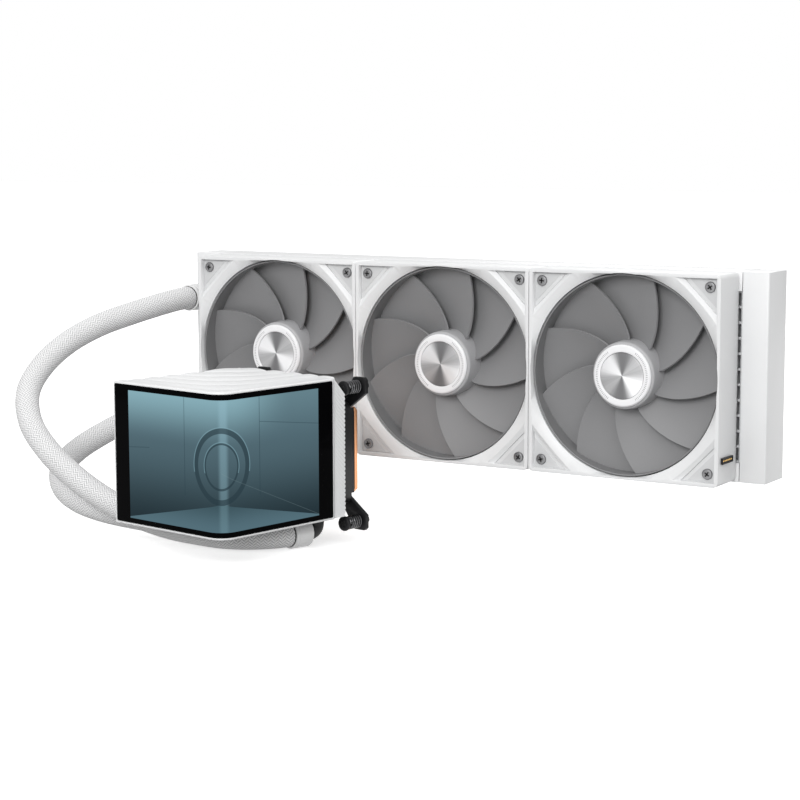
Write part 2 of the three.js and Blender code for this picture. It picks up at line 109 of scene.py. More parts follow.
class Value:
    """A number that flows through a material's nodes."""

    def __init__(self, graph: "Graph", socket: bpy.types.NodeSocket) -> None:
        """Wraps an output socket of the graph."""
        self.graph = graph
        self.socket = socket

    def math(self, operation: str, *others: "float | Value", first: "float | Value | None" = None) -> "Value":
        """Adds a Math node on this value.

        Args:
            operation: the Math node's operation.
            others: the further operands.
            first: an operand that stands before this value.

        Returns:
            The node's result.
        """
        operands = [self, *others] if first is None else [first, self]
        node = self.graph.node("ShaderNodeMath", {"operation": operation}, dict(enumerate(operands)))
        return Value(self.graph, node.outputs[0])

    def __add__(self, other: "float | Value") -> "Value":
        """This value plus another."""
        return self.math("ADD", other)

    def __radd__(self, other: float) -> "Value":
        """A number plus this value."""
        return self.math("ADD", other)

    def __sub__(self, other: "float | Value") -> "Value":
        """This value less another."""
        return self.math("SUBTRACT", other)

    def __rsub__(self, other: float) -> "Value":
        """A number less this value."""
        return self.math("SUBTRACT", first=other)

    def __mul__(self, other: "float | Value") -> "Value":
        """This value times another."""
        return self.math("MULTIPLY", other)

    def __rmul__(self, other: float) -> "Value":
        """A number times this value."""
        return self.math("MULTIPLY", other)

    def __truediv__(self, other: "float | Value") -> "Value":
        """This value divided by another."""
        return self.math("DIVIDE", other)

    def __gt__(self, other: "float | Value") -> "Value":
        """1 where this value is the larger, otherwise 0."""
        return self.math("GREATER_THAN", other)

    def __lt__(self, other: "float | Value") -> "Value":
        """1 where this value is the smaller, otherwise 0."""
        return self.math("LESS_THAN", other)

    def __mod__(self, other: float) -> "Value":
        """The remainder after division, never negative."""
        return self.math("FLOORED_MODULO", other)

    def __abs__(self) -> "Value":
        """This value without its sign."""
        return self.math("ABSOLUTE")

    def floor(self) -> "Value":
        """The whole number at or below this value."""
        return self.math("FLOOR")

    def sine(self) -> "Value":
        """The sine of this value in radians."""
        return self.math("SINE")

    def smooth(self, low: float, high: float) -> "Value":
        """A soft step over a range of this value.

        Args:
            low: where the step starts.
            high: where it ends.

        Returns:
            0 before the step, 1 after it.
        """
        settings = {"interpolation_type": "SMOOTHSTEP"}
        sockets = {"Value": self, "From Min": low, "From Max": high}
        return Value(self.graph, self.graph.node("ShaderNodeMapRange", settings, sockets).outputs[0])


Colour = tuple[float, float, float]


class Graph:
    """The nodes of one material, round one Principled shader."""

    def __init__(self, name: str) -> None:
        """Starts an empty material of that name."""
        self.material = bpy.data.materials.new(name)
        self.material.use_nodes = True
        self.tree = self.material.node_tree
        self.tree.nodes.clear()
        self.shader = self.node("ShaderNodeBsdfPrincipled")
        output = self.node("ShaderNodeOutputMaterial")
        self.tree.links.new(self.shader.outputs[0], output.inputs["Surface"])

    def node(self, kind: str, settings: dict | None = None, sockets: dict | None = None) -> bpy.types.Node:
        """Adds a node.

        Args:
            kind: the node's type.
            settings: its own settings, set before its sockets.
            sockets: values or links of its inputs, by name or place.

        Returns:
            The new node.
        """
        node = self.tree.nodes.new(kind)
        for key, setting in (settings or {}).items():
            setattr(node, key, setting)
        for key, content in (sockets or {}).items():
            self.feed(node.inputs[key], content)
        return node

    def feed(self, target: bpy.types.NodeSocket, content: object) -> None:
        """Sets an input, or links it.

        Args:
            target: the input socket.
            content: a Value, an output socket, a number or a tuple.
        """
        if isinstance(content, Value):
            content = content.socket
        if isinstance(content, bpy.types.NodeSocket):
            self.tree.links.new(content, target)
        elif isinstance(content, tuple) and target.type == "RGBA" and len(content) == 3:
            target.default_value = (*content, 1)
        else:
            target.default_value = content

    def place(self, centre: Point = (0, 0, 0), turn: float = 0,
              scale: Point = (1, 1, 1)) -> bpy.types.NodeSocket:
        """The place on the object, moved and turned into a piece's own frame.

        Args:
            centre: the piece's centre, in metres.
            turn: its turn about Z, in radians.
            scale: stretches the pattern's axes.

        Returns:
            The vector output.
        """
        source = self.node("ShaderNodeTexCoord").outputs["Object"]
        if centre == (0, 0, 0) and turn == 0 and scale == (1, 1, 1):
            return source
        moved = self.node("ShaderNodeMapping", {"vector_type": "TEXTURE"}, {
            "Vector": source, "Location": centre, "Rotation": (0, 0, turn)}).outputs[0]
        if scale == (1, 1, 1):
            return moved
        return self.node("ShaderNodeMapping", None, {"Vector": moved, "Scale": scale}).outputs[0]

    def axes(self, vector: bpy.types.NodeSocket) -> tuple[Value, Value, Value]:
        """The three parts of a vector."""
        parts = self.node("ShaderNodeSeparateXYZ", None, {0: vector}).outputs
        return Value(self, parts[0]), Value(self, parts[1]), Value(self, parts[2])

    def polar(self, centre: Point) -> tuple[Value, Value, Value, Value]:
        """The place about an axis that runs along Y.

        Args:
            centre: a point on the axis, in metres.

        Returns:
            The distances along X and along Z, the angle from X, and the distance from the axis.
        """
        x, _, z = self.axes(self.place(centre=centre))
        return x, z, z.math("ARCTAN2", x), (x * x + z * z).math("SQRT")

    def noise(self, vector: bpy.types.NodeSocket, scale: float, detail: float = 2,
              rough: float = 0.5) -> Value:
        """Soft noise.

        Args:
            vector: where it is read.
            scale: its grains per metre.
            detail: its octaves.
            rough: how strong the finer octaves are.

        Returns:
            A value about 0.5.
        """
        sockets = {"Vector": vector, "Scale": scale, "Detail": detail, "Roughness": rough}
        return Value(self, self.node("ShaderNodeTexNoise", None, sockets).outputs[0])

    def mix(self, factor: Value, low: object, high: object) -> bpy.types.NodeSocket:
        """Mixes two colours.

        Args:
            factor: 0 for the first, 1 for the second.
            low: the first colour.
            high: the second colour.

        Returns:
            The mixed colour.
        """
        node = self.node("ShaderNodeMix", {"data_type": "RGBA"})
        self.feed(node.inputs[0], factor)
        self.feed(node.inputs[6], low)
        self.feed(node.inputs[7], high)
        return node.outputs[2]

    def emboss(self, height: Value, distance: float, strength: float = 1) -> None:
        """Raises the surface by a height.

        Args:
            height: the height, from 0 to 1.
            distance: what 1 stands for, in metres.
            strength: how strongly it shades.
        """
        sockets = {"Height": height, "Distance": distance, "Strength": strength}
        node = self.node("ShaderNodeBump", None, sockets)
        self.feed(self.shader.inputs["Normal"], node.outputs[0])

    def set(self, **sockets: object) -> None:
        """Feeds the shader's inputs, with underscores for the spaces in their names."""
        for name, content in sockets.items():
            self.feed(self.shader.inputs[name.replace("_", " ")], content)


# ---- Finishes ----

@dataclass(frozen=True)
class Moulded:
    """Moulded plastic with a fine spark texture."""

    name: str
    colour: Colour
    roughness: float = 0.42
    grain: float = 0.00003
    coat: float = 0.0
    gloss: float = 0.5

    def material(self) -> bpy.types.Material:
        """Its material, with faint flow marks and a spark-eroded grain."""
        graph = Graph(self.name)
        place = graph.place()
        flow = graph.noise(place, 35, 3)
        spark = graph.noise(place, 2600, 2, 0.6)
        darker = tuple(0.93 * part for part in self.colour)
        graph.set(Base_Color=graph.mix(flow, darker, self.colour), Coat_Weight=self.coat,
                  Roughness=self.roughness - 0.05 + flow * 0.06 + spark * 0.05, Specular_IOR_Level=self.gloss)
        graph.emboss(spark, self.grain, 0.5)
        return graph.material


@dataclass(frozen=True)
class PowderCoat:
    """White powder coat with its orange-peel skin."""

    name: str
    colour: Colour

    def material(self) -> bpy.types.Material:
        """Its material: a slow sheen change, and soft dimples about a millimetre apart."""
        graph = Graph(self.name)
        place = graph.place()
        slow = graph.noise(place, 18, 2)
        peel = graph.noise(place, 900, 2, 0.4)
        darker = tuple(0.95 * part for part in self.colour)
        graph.set(Base_Color=graph.mix(slow, darker, self.colour), Roughness=0.3 + slow * 0.08 + peel * 0.06,
                  Coat_Weight=0.15, Coat_Roughness=0.25)
        graph.emboss(peel, 0.00006, 0.35)
        return graph.material


@dataclass(frozen=True)
class Metal:
    """Metal with brush marks along one axis."""

    name: str
    colour: Colour
    roughness: float
    stretch: Point = (1, 1, 40)

    def material(self) -> bpy.types.Material:
        """Its material, with long fine marks in its roughness, colour and surface."""
        graph = Graph(self.name)
        marks = graph.noise(graph.place(scale=self.stretch), 120, 3, 0.6)
        stain = graph.noise(graph.place(), 60, 2)
        darker = tuple(0.8 * part for part in self.colour)
        graph.set(Base_Color=graph.mix(marks * 0.6 + stain * 0.4, darker, self.colour), Metallic=1.0,
                  Roughness=self.roughness - 0.08 + marks * 0.16)
        graph.emboss(marks, 0.00002, 0.3)
        return graph.material


@dataclass(frozen=True)
class SpunDisc:
    """A spun metal disc, with painted sheen: light and dark sectors painted into its colour where its fine grooves
    would catch the light.
    """

    name: str
    centre: Point
    shade: Colour = (0.17, 0.17, 0.175)
    light: Colour = (0.86, 0.86, 0.87)
    sectors: tuple[tuple[float, float, float], ...] = ((2, 2.44, 0.5), (4, -1.92, 0.3))
    groove_pitch: float = 0.00035

    def material(self) -> bpy.types.Material:
        """Its material: painted sheen in sectors about the centre, and rings of fine grooves."""
        graph = Graph(self.name)
        _, _, angle, radius = graph.polar(self.centre)
        broad, narrow = ((angle * count + phase).sine() * weight for count, phase, weight in self.sectors)
        circle = {0: angle.sine() * 3, 1: (angle + math.pi / 2).sine() * 3, 2: 0.0}
        sheen_streaks = graph.noise(graph.node("ShaderNodeCombineXYZ", None, circle).outputs[0], 9, 4, 0.7)
        # Painted reflection: the sectors and streaks set the base colour between the shade and light colours.
        sheen = (broad + narrow + sheen_streaks * 0.4 - 0.12).smooth(-0.55, 0.7)
        groove = (radius * (2 * math.pi / self.groove_pitch)).sine() * 0.5 + 0.5
        graph.set(Base_Color=graph.mix(sheen, self.shade, self.light), Metallic=0.5,
                  Roughness=0.5 - sheen * 0.1 + groove * 0.06)
        graph.emboss(groove, 0.00001, 0.25)
        return graph.material


@dataclass(frozen=True)
class TickedRing:
    """The white ring round a hub disc, with two arcs of fine grey ticks."""

    name: str
    centre: Point
    white: Colour = (0.87, 0.87, 0.88)
    ink: Colour = (0.38, 0.38, 0.39)
    inner: float = 0.0151
    outer: float = 0.0163
    ticks: int = 96
    tick_share: float = 0.36
    arc_slope: float = 0.62

    def material(self) -> bpy.types.Material:
        """Its material: a glossy white, ticked on the left and right."""
        graph = Graph(self.name)
        x, z, angle, radius = graph.polar(self.centre)
        band = (radius > self.inner) * (radius < self.outer)
        tick = (angle * (self.ticks / (2 * math.pi)) % 1) < self.tick_share
        arcs = (abs(x) - abs(z) * self.arc_slope) > 0.0
        mark = band * tick * arcs
        flow = graph.noise(graph.place(), 400, 2)
        graph.set(Base_Color=graph.mix(mark, self.white, self.ink),
                  Roughness=0.28 + flow * 0.08 + mark * 0.2, Coat_Weight=0.2)
        graph.emboss(1 - mark, 0.00004, 0.4)
        return graph.material


@dataclass(frozen=True)
class Braid:
    """A braided sleeve: two families of strands that cross, each over two and under two."""

    name: str
    around: int
    along: float
    # gap: the grey of the painted shade at the strands' edges and between them.
    gap: Colour = (0.34, 0.34, 0.35)
    yarn: Colour = (0.90, 0.90, 0.90)
    thread_count: int = 4
    height: float = 0.0004

    def material(self) -> bpy.types.Material:
        """Its material, worked on the sleeve's own UV map: round it in U, along it in V. Its colour holds painted
        shade and painted light on the strands.
        """
        graph = Graph(self.name)
        uv = graph.node("ShaderNodeUVMap", {"uv_map": "UVMap"}).outputs[0]
        u, v, _ = graph.axes(uv)
        left = u * self.around + v * self.along
        right = u * -self.around + v * self.along
        over = ((left.floor() + right.floor()) % 4) < 1.5
        across = left % 1 * over + right % 1 * (1 - over)
        run = right * over + left * (1 - over)
        threads = (across * (2 * math.pi * self.thread_count)).sine() * 0.5 + 0.5
        arch = (1 - abs(across - 0.5) * 2).smooth(0, 0.55)
        fuzz = graph.noise(graph.place(), 2200, 2, 0.6)
        wander = graph.noise(graph.place(), 90, 2)
        height = arch * 0.75 + threads * 0.1 + fuzz * 0.15
        # Painted light and shade: each strand is lighter where it rises over a crossing and on its thread crowns,
        # and darker towards its edges and the gaps.
        lift = (run * math.pi).sine() * 0.5 + 0.5
        tone = arch * (0.72 + threads * 0.12 + lift * 0.06 + wander * 0.1)
        graph.set(Base_Color=graph.mix(tone, self.gap, self.yarn),
                  Roughness=0.62 + fuzz * 0.16, Sheen_Weight=0.12)
        graph.emboss(height, self.height, 0.55)
        return graph.material


@dataclass(frozen=True)
class WrappedPicture:
    """The display's cover glass: a black border round a lit picture of an empty blue room."""

    name: str
    corner: Point
    yaw: float
    half_height: float
    reach: float
    seam: float = 0.0287
    seam_half: float = 0.00028
    glass: Colour = (0.002, 0.002, 0.0023)
    wall_low: Colour = (0.014, 0.028, 0.036)
    wall_high: Colour = (0.083, 0.143, 0.172)
    wall_glow: Colour = (0.25, 0.43, 0.49)
    bend_light: Colour = (0.30, 0.50, 0.58)
    floor_near: Colour = (0.085, 0.155, 0.19)
    floor_far: Colour = (0.045, 0.088, 0.108)
    floor_light: Colour = (0.24, 0.42, 0.48)
    seam_dark: Colour = (0.02, 0.045, 0.06)
    hoop_dark: Colour = (0.022, 0.045, 0.058)
    hoop_light: Colour = (0.25, 0.43, 0.50)
    ray_light: Colour = (0.30, 0.42, 0.45)
    hoop_sizes: tuple[tuple[float, float], ...] = ((0.0195, 0.0034), (0.0125, 0.0014))

    def material(self) -> bpy.types.Material:
        """Its material: gloss black, with the picture as light from within."""
        graph = Graph(self.name)
        place = graph.place(centre=self.corner, turn=self.yaw)
        x, y, z = graph.axes(place)
        side = y + x
        away = abs(side)
        lit = (away < self.reach) * (z < self.half_height) * (z > -self.half_height)
        up = (z / self.half_height) * 0.5 + 0.5
        haze = graph.noise(place, 26, 2)
        wall = graph.mix(up.smooth(-0.05, 0.75), self.wall_low, self.wall_high)
        shaded = 1 - side.smooth(0.006, 0.055) * 0.72
        wall = graph.mix(up.smooth(0.62, 1.06) * shaded, wall, self.wall_glow)
        bend = (1 - abs(side - 0.0016).smooth(0.0012, 0.0048)) * (0.26 + up * 0.18)
        wall = graph.mix(bend, wall, self.bend_light)
        on_floor = up < 0.216 - away * 2.75
        floor = graph.mix(up.smooth(0.0, 0.24), self.floor_near, self.floor_far)
        floor = graph.mix(bend * 0.8, floor, self.floor_light)
        picture = graph.mix(on_floor, wall, floor)
        for line in self.seams(side, away, up):
            picture = graph.mix(line * 0.45, picture, self.seam_dark)
        for light, dark in self.hoops(away, z):
            picture = graph.mix(dark * 0.75, picture, self.hoop_dark)
            picture = graph.mix(light * 0.5, picture, self.hoop_light)
        ray = (abs(up - 0.45 + away * 5.9) < 0.002) * (side > 0)
        picture = graph.mix(ray * 0.16, picture, self.ray_light)
        glow = graph.mix(lit, (0.0, 0.0, 0.0), picture)
        graph.set(Base_Color=self.glass, Roughness=0.06 + haze * 0.03, Emission_Color=glow,
                  Emission_Strength=1.0, Specular_IOR_Level=0.05, IOR=1.12)
        return graph.material

    def seams(self, side: Value, away: Value, up: Value) -> list[Value]:
        """The thin joints between the room's wall panels.

        Args:
            side: the distance along the wrap, signed.
            away: the distance from the corner.
            up: the height in the picture, from 0 to 1.

        Returns:
            A mask for each joint.
        """
        on_wall = up > 0.25
        right_side = side > 0
        return [
            (abs(away - self.seam) < self.seam_half) * on_wall,
            (abs(up - 0.862 + away * 1.8) < 0.003) * (away > self.seam) * right_side,
            (abs(up - 0.64 + away * 1.1) < 0.003) * (away > 2 * self.seam) * (1 - right_side),
        ]

    def hoops(self, away: Value, z: Value) -> list[tuple[Value, Value]]:
        """A plain pair of concentric rings in relief, which fills the middle of the picture.

        Args:
            away: the distance from the corner, along the wrap.
            z: the height above the display's middle.

        Returns:
            For each ring, its light and dark edges as masks.
        """
        radius = (away * away + z * z).math("SQRT")
        rings = []
        for middle, width in self.hoop_sizes:
            dark = 1 - abs(radius - middle).smooth(width * 0.42, width * 0.5)
            light = (1 - abs(radius - middle - width * 0.5).smooth(0.0001, 0.00045)) * (z > -0.004)
            rings.append((light, dark))
        return rings


WHITE = (0.80, 0.805, 0.81)
WHITE_PLASTIC = Moulded("white_plastic", WHITE, 0.4)
WHITE_GLOSS = Moulded("white_gloss", (0.80, 0.80, 0.80), 0.24, 0.00001, 0.3)
WHITE_COAT = PowderCoat("white_coat", WHITE)
# The core's coat is a slightly grey white, darkened further as painted shade deep among the tubes and fins.
SHADED_CORE_COAT = PowderCoat("shaded_core_coat", (0.62, 0.63, 0.64))
PAD_GREY = Moulded("pad_grey", (0.72, 0.725, 0.73), 0.6, 0.00005)
# The smaller pads are a darker copy of the pad grey: painted shade.
PAD_SHADED = Moulded("pad_shaded", (0.63, 0.635, 0.64), 0.6, 0.00005)
FAN_GREY = Moulded("fan_grey", (0.235, 0.235, 0.24), 0.5, 0.00003)
HUB_GREY = Moulded("hub_grey", (0.45, 0.45, 0.46), 0.45, 0.00003)
BLACK_PLASTIC = Moulded("black_plastic", (0.012, 0.012, 0.013), 0.45, gloss=0.25)
BLACK_COAT = Moulded("black_coat", (0.010, 0.010, 0.011), 0.42, 0.00004, gloss=0.2)
RUBBER = Moulded("black_rubber", (0.012, 0.012, 0.012), 0.75, 0.00006)
BOARD = Moulded("board_green", (0.012, 0.09, 0.045), 0.35, 0.00002, 0.4)
SCREW_STEEL = Metal("screw_steel", (0.24, 0.24, 0.245), 0.42, (1, 1, 1))
SPRING_STEEL = Metal("spring_steel", (0.13, 0.13, 0.135), 0.28, (1, 1, 1))
# Black for the blocks inside screw recesses: painted shade.
PAINTED_RECESS_SHADE = Moulded("painted_recess_shade", (0.01, 0.01, 0.01), 0.6)
COPPER = Metal("copper", (0.86, 0.42, 0.22), 0.34, (1, 1, 30))
GOLD = Metal("contact_gold", (0.9, 0.58, 0.2), 0.25, (1, 1, 1))
WINDING = Metal("winding", (0.55, 0.22, 0.09), 0.4, (1, 30, 1))
SCREEN_BACK = Moulded("screen_back", (0.03, 0.05, 0.06), 0.3, 0.00001)


# ---- Mesh work ----

class Slot(Enum):
    """The record's material slots."""

    PAINT = "white_paint"
    WHITE = "white_plastic"
    BLACK = "black_plastic"
    BLACK_STEEL = "black_steel"
    STEEL = "dark_steel"
    FAN = "fan_grey"
    HUB = "hub_metal"
    COPPER = "copper"
    GLASS = "display_glass"
    BRAID = "braid"


_materials: dict[str, bpy.types.Material] = {}


def material_of(finish: object) -> bpy.types.Material:
    """The material of a finish, made once.

    Args:
        finish: any of the finishes above.

    Returns:
        Its material.
    """
    if finish.name not in _materials:
        _materials[finish.name] = finish.material()
    return _materials[finish.name]


def finished(name: str, mesh: bmesh.types.BMesh, finish: object, body: str = ROOT,
             replaced: Sequence[str] = ()) -> bpy.types.Object:
    """Makes a piece of a mesh, with its finish, and lets it ride.

    Args:
        name: the piece's name.
        mesh: its mesh in metres, in the row's frame, which is freed.
        finish: its finish.
        body: the body it rides on.
        replaced: the CAD nodes that it stands for.

    Returns:
        The new object.
    """
    for face in mesh.faces:
        face.smooth = True
    for edge in mesh.edges:
        edge.smooth = len(edge.link_faces) != 2 or edge.calc_face_angle(0) < SHARP
    data = bpy.data.meshes.new(name)
    mesh.to_mesh(data)
    mesh.free()
    data.materials.append(material_of(finish))
    piece = bpy.data.objects.new(name, data)
    bpy.context.scene.collection.objects.link(piece)
    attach(piece, body)
    if replaced:
        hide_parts(*replaced)
    log.info("%s: %d faces", name, len(data.polygons))
    return piece


def bevelled(mesh: bmesh.types.BMesh, width: float, segments: int = 2,
             angle: float = 38) -> bmesh.types.BMesh:
    """Rounds the edges of a mesh that are sharper than an angle.

    Args:
        mesh: the mesh.
        width: the bevel's width.
        segments: its steps.
        angle: the least turn of an edge, in degrees.

    Returns:
        The same mesh.
    """
    least = math.radians(angle)
    edges = [e for e in mesh.edges if len(e.link_faces) == 2 and e.calc_face_angle(0) > least]
    bmesh.ops.bevel(mesh, geom=edges, offset=width, segments=segments, profile=0.5, affect="EDGES",
                    material=-1, clamp_overlap=True)
    return mesh


def softened(node: str, width: float, segments: int = 2) -> bmesh.types.BMesh:
    """A merged copy of a CAD node's mesh with its edges rounded.

    Args:
        node: the CAD node.
        width: the rounding's width.
        segments: its steps.

    Returns:
        The new mesh.
    """
    mesh = bmesh.new()
    mesh.from_mesh(frame["nodes"][node].data)
    bmesh.ops.remove_doubles(mesh, verts=mesh.verts, dist=WELD)
    bmesh.ops.dissolve_limit(mesh, angle_limit=FLAT, verts=mesh.verts, edges=mesh.edges)
    return bevelled(mesh, width, segments)


def block(low: Point, high: Point, width: float = 0.0, segments: int = 2) -> bmesh.types.BMesh:
    """A box between two corners, with rounded edges.

    Args:
        low: its lowest corner.
        high: its highest corner.
        width: the rounding's width, or 0.
        segments: its steps.

    Returns:
        The mesh.
    """
    mesh = bmesh.new()
    size = Vector(high) - Vector(low)
    place = Matrix.Translation((Vector(low) + Vector(high)) / 2) @ Matrix.Diagonal((*size, 1))
    bmesh.ops.create_cube(mesh, size=1, matrix=place)
    return bevelled(mesh, width, segments) if width else mesh


def turned(profile: Sequence[tuple[float, float]], sides: int) -> bmesh.types.BMesh:
    """A solid turned about the Y axis.

    Args:
        profile: its outline as (radius, y) in metres, from the axis or closed on itself.
        sides: the steps round it.

    Returns:
        The mesh, welded and facing outwards.
    """
    mesh = bmesh.new()
    points = [mesh.verts.new((radius, y, 0)) for radius, y in profile]
    edges = [mesh.edges.new(pair) for pair in zip(points, points[1:])]
    if profile[0][0] > 0:
        edges.append(mesh.edges.new((points[-1], points[0])))
    bmesh.ops.spin(mesh, geom=points + edges, cent=(0, 0, 0), axis=(0, 1, 0), angle=2 * math.pi,
                   steps=sides, use_merge=True)
    bmesh.ops.remove_doubles(mesh, verts=mesh.verts, dist=0.000001)
    bmesh.ops.recalc_face_normals(mesh, faces=mesh.faces)
    return mesh


def rounded(points: Sequence[tuple[float, float]], radius: float,
            steps: int = 3) -> list[tuple[float, float]]:
    """An outline with its inner corners rounded.

    Args:
        points: the corners, of which the first and last stay sharp.
        radius: the largest rounding.
        steps: points on each round.

    Returns:
        The rounded outline.
    """
    result = [points[0]]
    for before, corner, after in zip(points, points[1:], points[2:]):
        here = Vector(corner)
        to_before, to_after = Vector(before) - here, Vector(after) - here
        reach = min(radius, to_before.length * 0.45, to_after.length * 0.45)
        start, end = here + to_before.normalized() * reach, here + to_after.normalized() * reach
        for step in range(steps + 1):
            t = step / steps
            result.append(tuple(start.lerp(here, t).lerp(here.lerp(end, t), t)))
    return [*result, points[-1]]


def joined(meshes: Sequence[bmesh.types.BMesh]) -> bmesh.types.BMesh:
    """One mesh that holds several, which are freed.

    Args:
        meshes: the meshes.

    Returns:
        The whole.
    """
    whole = bmesh.new()
    for mesh in meshes:
        data = bpy.data.meshes.new("part")
        mesh.to_mesh(data)
        mesh.free()
        whole.from_mesh(data)
        bpy.data.meshes.remove(data)
    return whole


def placed(mesh: bmesh.types.BMesh, place: Matrix) -> bmesh.types.BMesh:
    """The same mesh after a move or turn.

    Args:
        mesh: the mesh.
        place: the transform.

    Returns:
        The mesh.
    """
    bmesh.ops.transform(mesh, matrix=place, verts=mesh.verts)
    return mesh


def carved(mesh: bmesh.types.BMesh, tools: Sequence[bmesh.types.BMesh]) -> bmesh.types.BMesh:
    """A solid with others cut from it.

    Args:
        mesh: the solid, which is freed.
        tools: the other solids, which are freed.

    Returns:
        The result as a new mesh.
    """
    def temporary(source: bmesh.types.BMesh) -> bpy.types.Object:
        """An object that holds a mesh for a moment."""
        data = bpy.data.meshes.new("carving")
        source.to_mesh(data)
        source.free()
        thing = bpy.data.objects.new("carving", data)
        bpy.context.scene.collection.objects.link(thing)
        return thing

    body = temporary(mesh)
    helpers = [temporary(tool) for tool in tools]
    for helper in helpers:
        modifier = body.modifiers.new("carve", "BOOLEAN")
        modifier.operation = "DIFFERENCE"
        modifier.solver = "EXACT"
        modifier.object = helper
    result = bmesh.new()
    shape = body.evaluated_get(bpy.context.evaluated_depsgraph_get())
    result.from_mesh(shape.to_mesh())
    shape.to_mesh_clear()
    for thing in (body, *helpers):
        data = thing.data
        bpy.data.objects.remove(thing)
        bpy.data.meshes.remove(data)
    bmesh.ops.remove_doubles(result, verts=result.verts, dist=WELD)
    bmesh.ops.dissolve_limit(result, angle_limit=FLAT, verts=result.verts, edges=result.edges)
    return result


def prism(outline: Sequence[tuple[float, float]], y0: float, y1: float) -> bmesh.types.BMesh:
    """An elevation in (x, z) drawn back from y0 to y1.

    Args:
        outline: its corners in order.
        y0: the front.
        y1: the back.

    Returns:
        The mesh.
    """
    mesh = bmesh.new()
    face = mesh.faces.new([mesh.verts.new((x, y0, z)) for x, z in outline])
    drawn = bmesh.ops.extrude_face_region(mesh, geom=[face])
    moved = [part for part in drawn["geom"] if isinstance(part, bmesh.types.BMVert)]
    bmesh.ops.translate(mesh, vec=(0, y1 - y0, 0), verts=moved)
    bmesh.ops.recalc_face_normals(mesh, faces=mesh.faces)
    return mesh


def smooth_path(points: Sequence[Point], between: int) -> list[Vector]:
    """A smooth curve through points, as closely followed as the CAD's own.

    Args:
        points: the points it goes through.
        between: the steps from each to the next.

    Returns:
        The points on the curve.
    """
    known = [Vector(point) for point in points]
    known = [known[0] * 2 - known[1], *known, known[-1] * 2 - known[-2]]
    path = []
    for before, start, end, after in zip(known, known[1:], known[2:], known[3:]):
        gaps = [max((b - a).length, 1e-6) ** 0.5 for a, b in ((before, start), (start, end), (end, after))]
        leave = ((start - before) / gaps[0] - (end - before) / (gaps[0] + gaps[1]) + (end - start) / gaps[1])
        arrive = ((end - start) / gaps[1] - (after - start) / (gaps[1] + gaps[2]) + (after - end) / gaps[2])
        leave, arrive = leave * gaps[1], arrive * gaps[1]
        for step in range(between):
            t = step / between
            path.append(start * (2 * t**3 - 3 * t**2 + 1) + leave * (t**3 - 2 * t**2 + t)
                        + end * (3 * t**2 - 2 * t**3) + arrive * (t**3 - t**2))
    return [*path, known[-2]]


def path_length(path: Sequence[Vector]) -> float:
    """The length of a line of points."""
    return sum((b - a).length for a, b in zip(path, path[1:]))


def sleeve(path: Sequence[Vector], radius: float, sides: int) -> bmesh.types.BMesh:
    """A round tube along a path, with a UV map: round it in U, along it in V.

    Args:
        path: its centre line.
        radius: its radius.
        sides: the faces round it.

    Returns:
        The mesh, closed at both ends.
    """
    mesh = bmesh.new()
    bmesh.ops.create_grid(mesh, x_segments=sides, y_segments=len(path) - 1, size=0.5, calc_uvs=False)
    layer = mesh.loops.layers.uv.new("UVMap")
    run = [0.0]
    for start, end in zip(path, path[1:]):
        run.append(run[-1] + (end - start).length)
    cells = {}
    for vert in mesh.verts:
        cells[vert] = (round((vert.co.x + 0.5) * sides), round((vert.co.y + 0.5) * (len(path) - 1)))
    for face in mesh.faces:
        for loop in face.loops:
            column, row = cells[loop.vert]
            loop[layer].uv = (column / sides, run[row] / run[-1])
    out = (path[1] - path[0]).orthogonal().normalized()
    rings = []
    for i, centre in enumerate(path):
        along = (path[min(i + 1, len(path) - 1)] - path[max(i - 1, 0)]).normalized()
        out = (out - along * out.dot(along)).normalized()
        rings.append((centre, out, along.cross(out)))
    for vert, (column, row) in cells.items():
        centre, first, second = rings[row]
        angle = 2 * math.pi * column / sides
        vert.co = centre + (first * math.cos(angle) + second * math.sin(angle)) * radius
    bmesh.ops.remove_doubles(mesh, verts=mesh.verts, dist=0.000001)
    bmesh.ops.holes_fill(mesh, edges=[edge for edge in mesh.edges if edge.is_boundary], sides=0)
    bmesh.ops.recalc_face_normals(mesh, faces=mesh.faces)
    return mesh


def recess_shade_insert(radius: float, height: float) -> bmesh.types.BMesh:
    """A black block just inside a screw's cross recess, which paints the shade on the recess's floor.

    Args:
        radius: the head's radius.
        height: the head's height.

    Returns:
        The mesh, placed as the screw is.
    """
    wide, narrow = 0.5 * radius, 0.135 * radius
    front, back = -0.8 * height, -0.25 * height
    return joined([block((-wide, front, -narrow), (wide, back, narrow)),
                   block((-narrow, front, -wide), (narrow, back, wide))])


def cross_headed(radius: float, height: float, length: float, shank: float) -> bmesh.types.BMesh:
    """A pan-headed screw along Y with a cross recess, its head's seat at y = 0 and its head in front.

    Args:
        radius: the head's radius.
        height: the head's height.
        length: the shank's length behind the seat.
        shank: the shank's radius.

    Returns:
        The mesh.
    """
    outline = [(0, -height), (radius, -height), (radius, 0), (shank, 0), (shank, length), (0, length)]
    head = turned(rounded(outline, 0.3 * radius), 28)
    wide, narrow, deep = 0.52 * radius, 0.15 * radius, 0.72 * height
    arms = [block((-wide, -height - MM, -narrow), (wide, -height + deep, narrow)),
            block((-narrow, -height - MM, -wide), (narrow, -height + deep, wide))]
    return carved(head, arms)


# ---- Camera and light ----

@dataclass(frozen=True)
class Lamp:
    """A square soft light."""

    name: str
    place: Point
    power: float
    size: float = 0.9
    target: Point = (0, -0.1, -0.05)

    def hang(self) -> None:
        """Hangs it, turned towards its target."""
        data = bpy.data.lights.new(self.name, "AREA")
        data.size = self.size
        data.energy = self.power
        lamp = bpy.data.objects.new(self.name, data)
        bpy.context.scene.collection.objects.link(lamp)
        lamp.matrix_world = Matrix.Translation(self.place) @ (
            (Vector(self.target) - Vector(self.place)).to_track_quat("-Z", "Y").to_matrix().to_4x4())


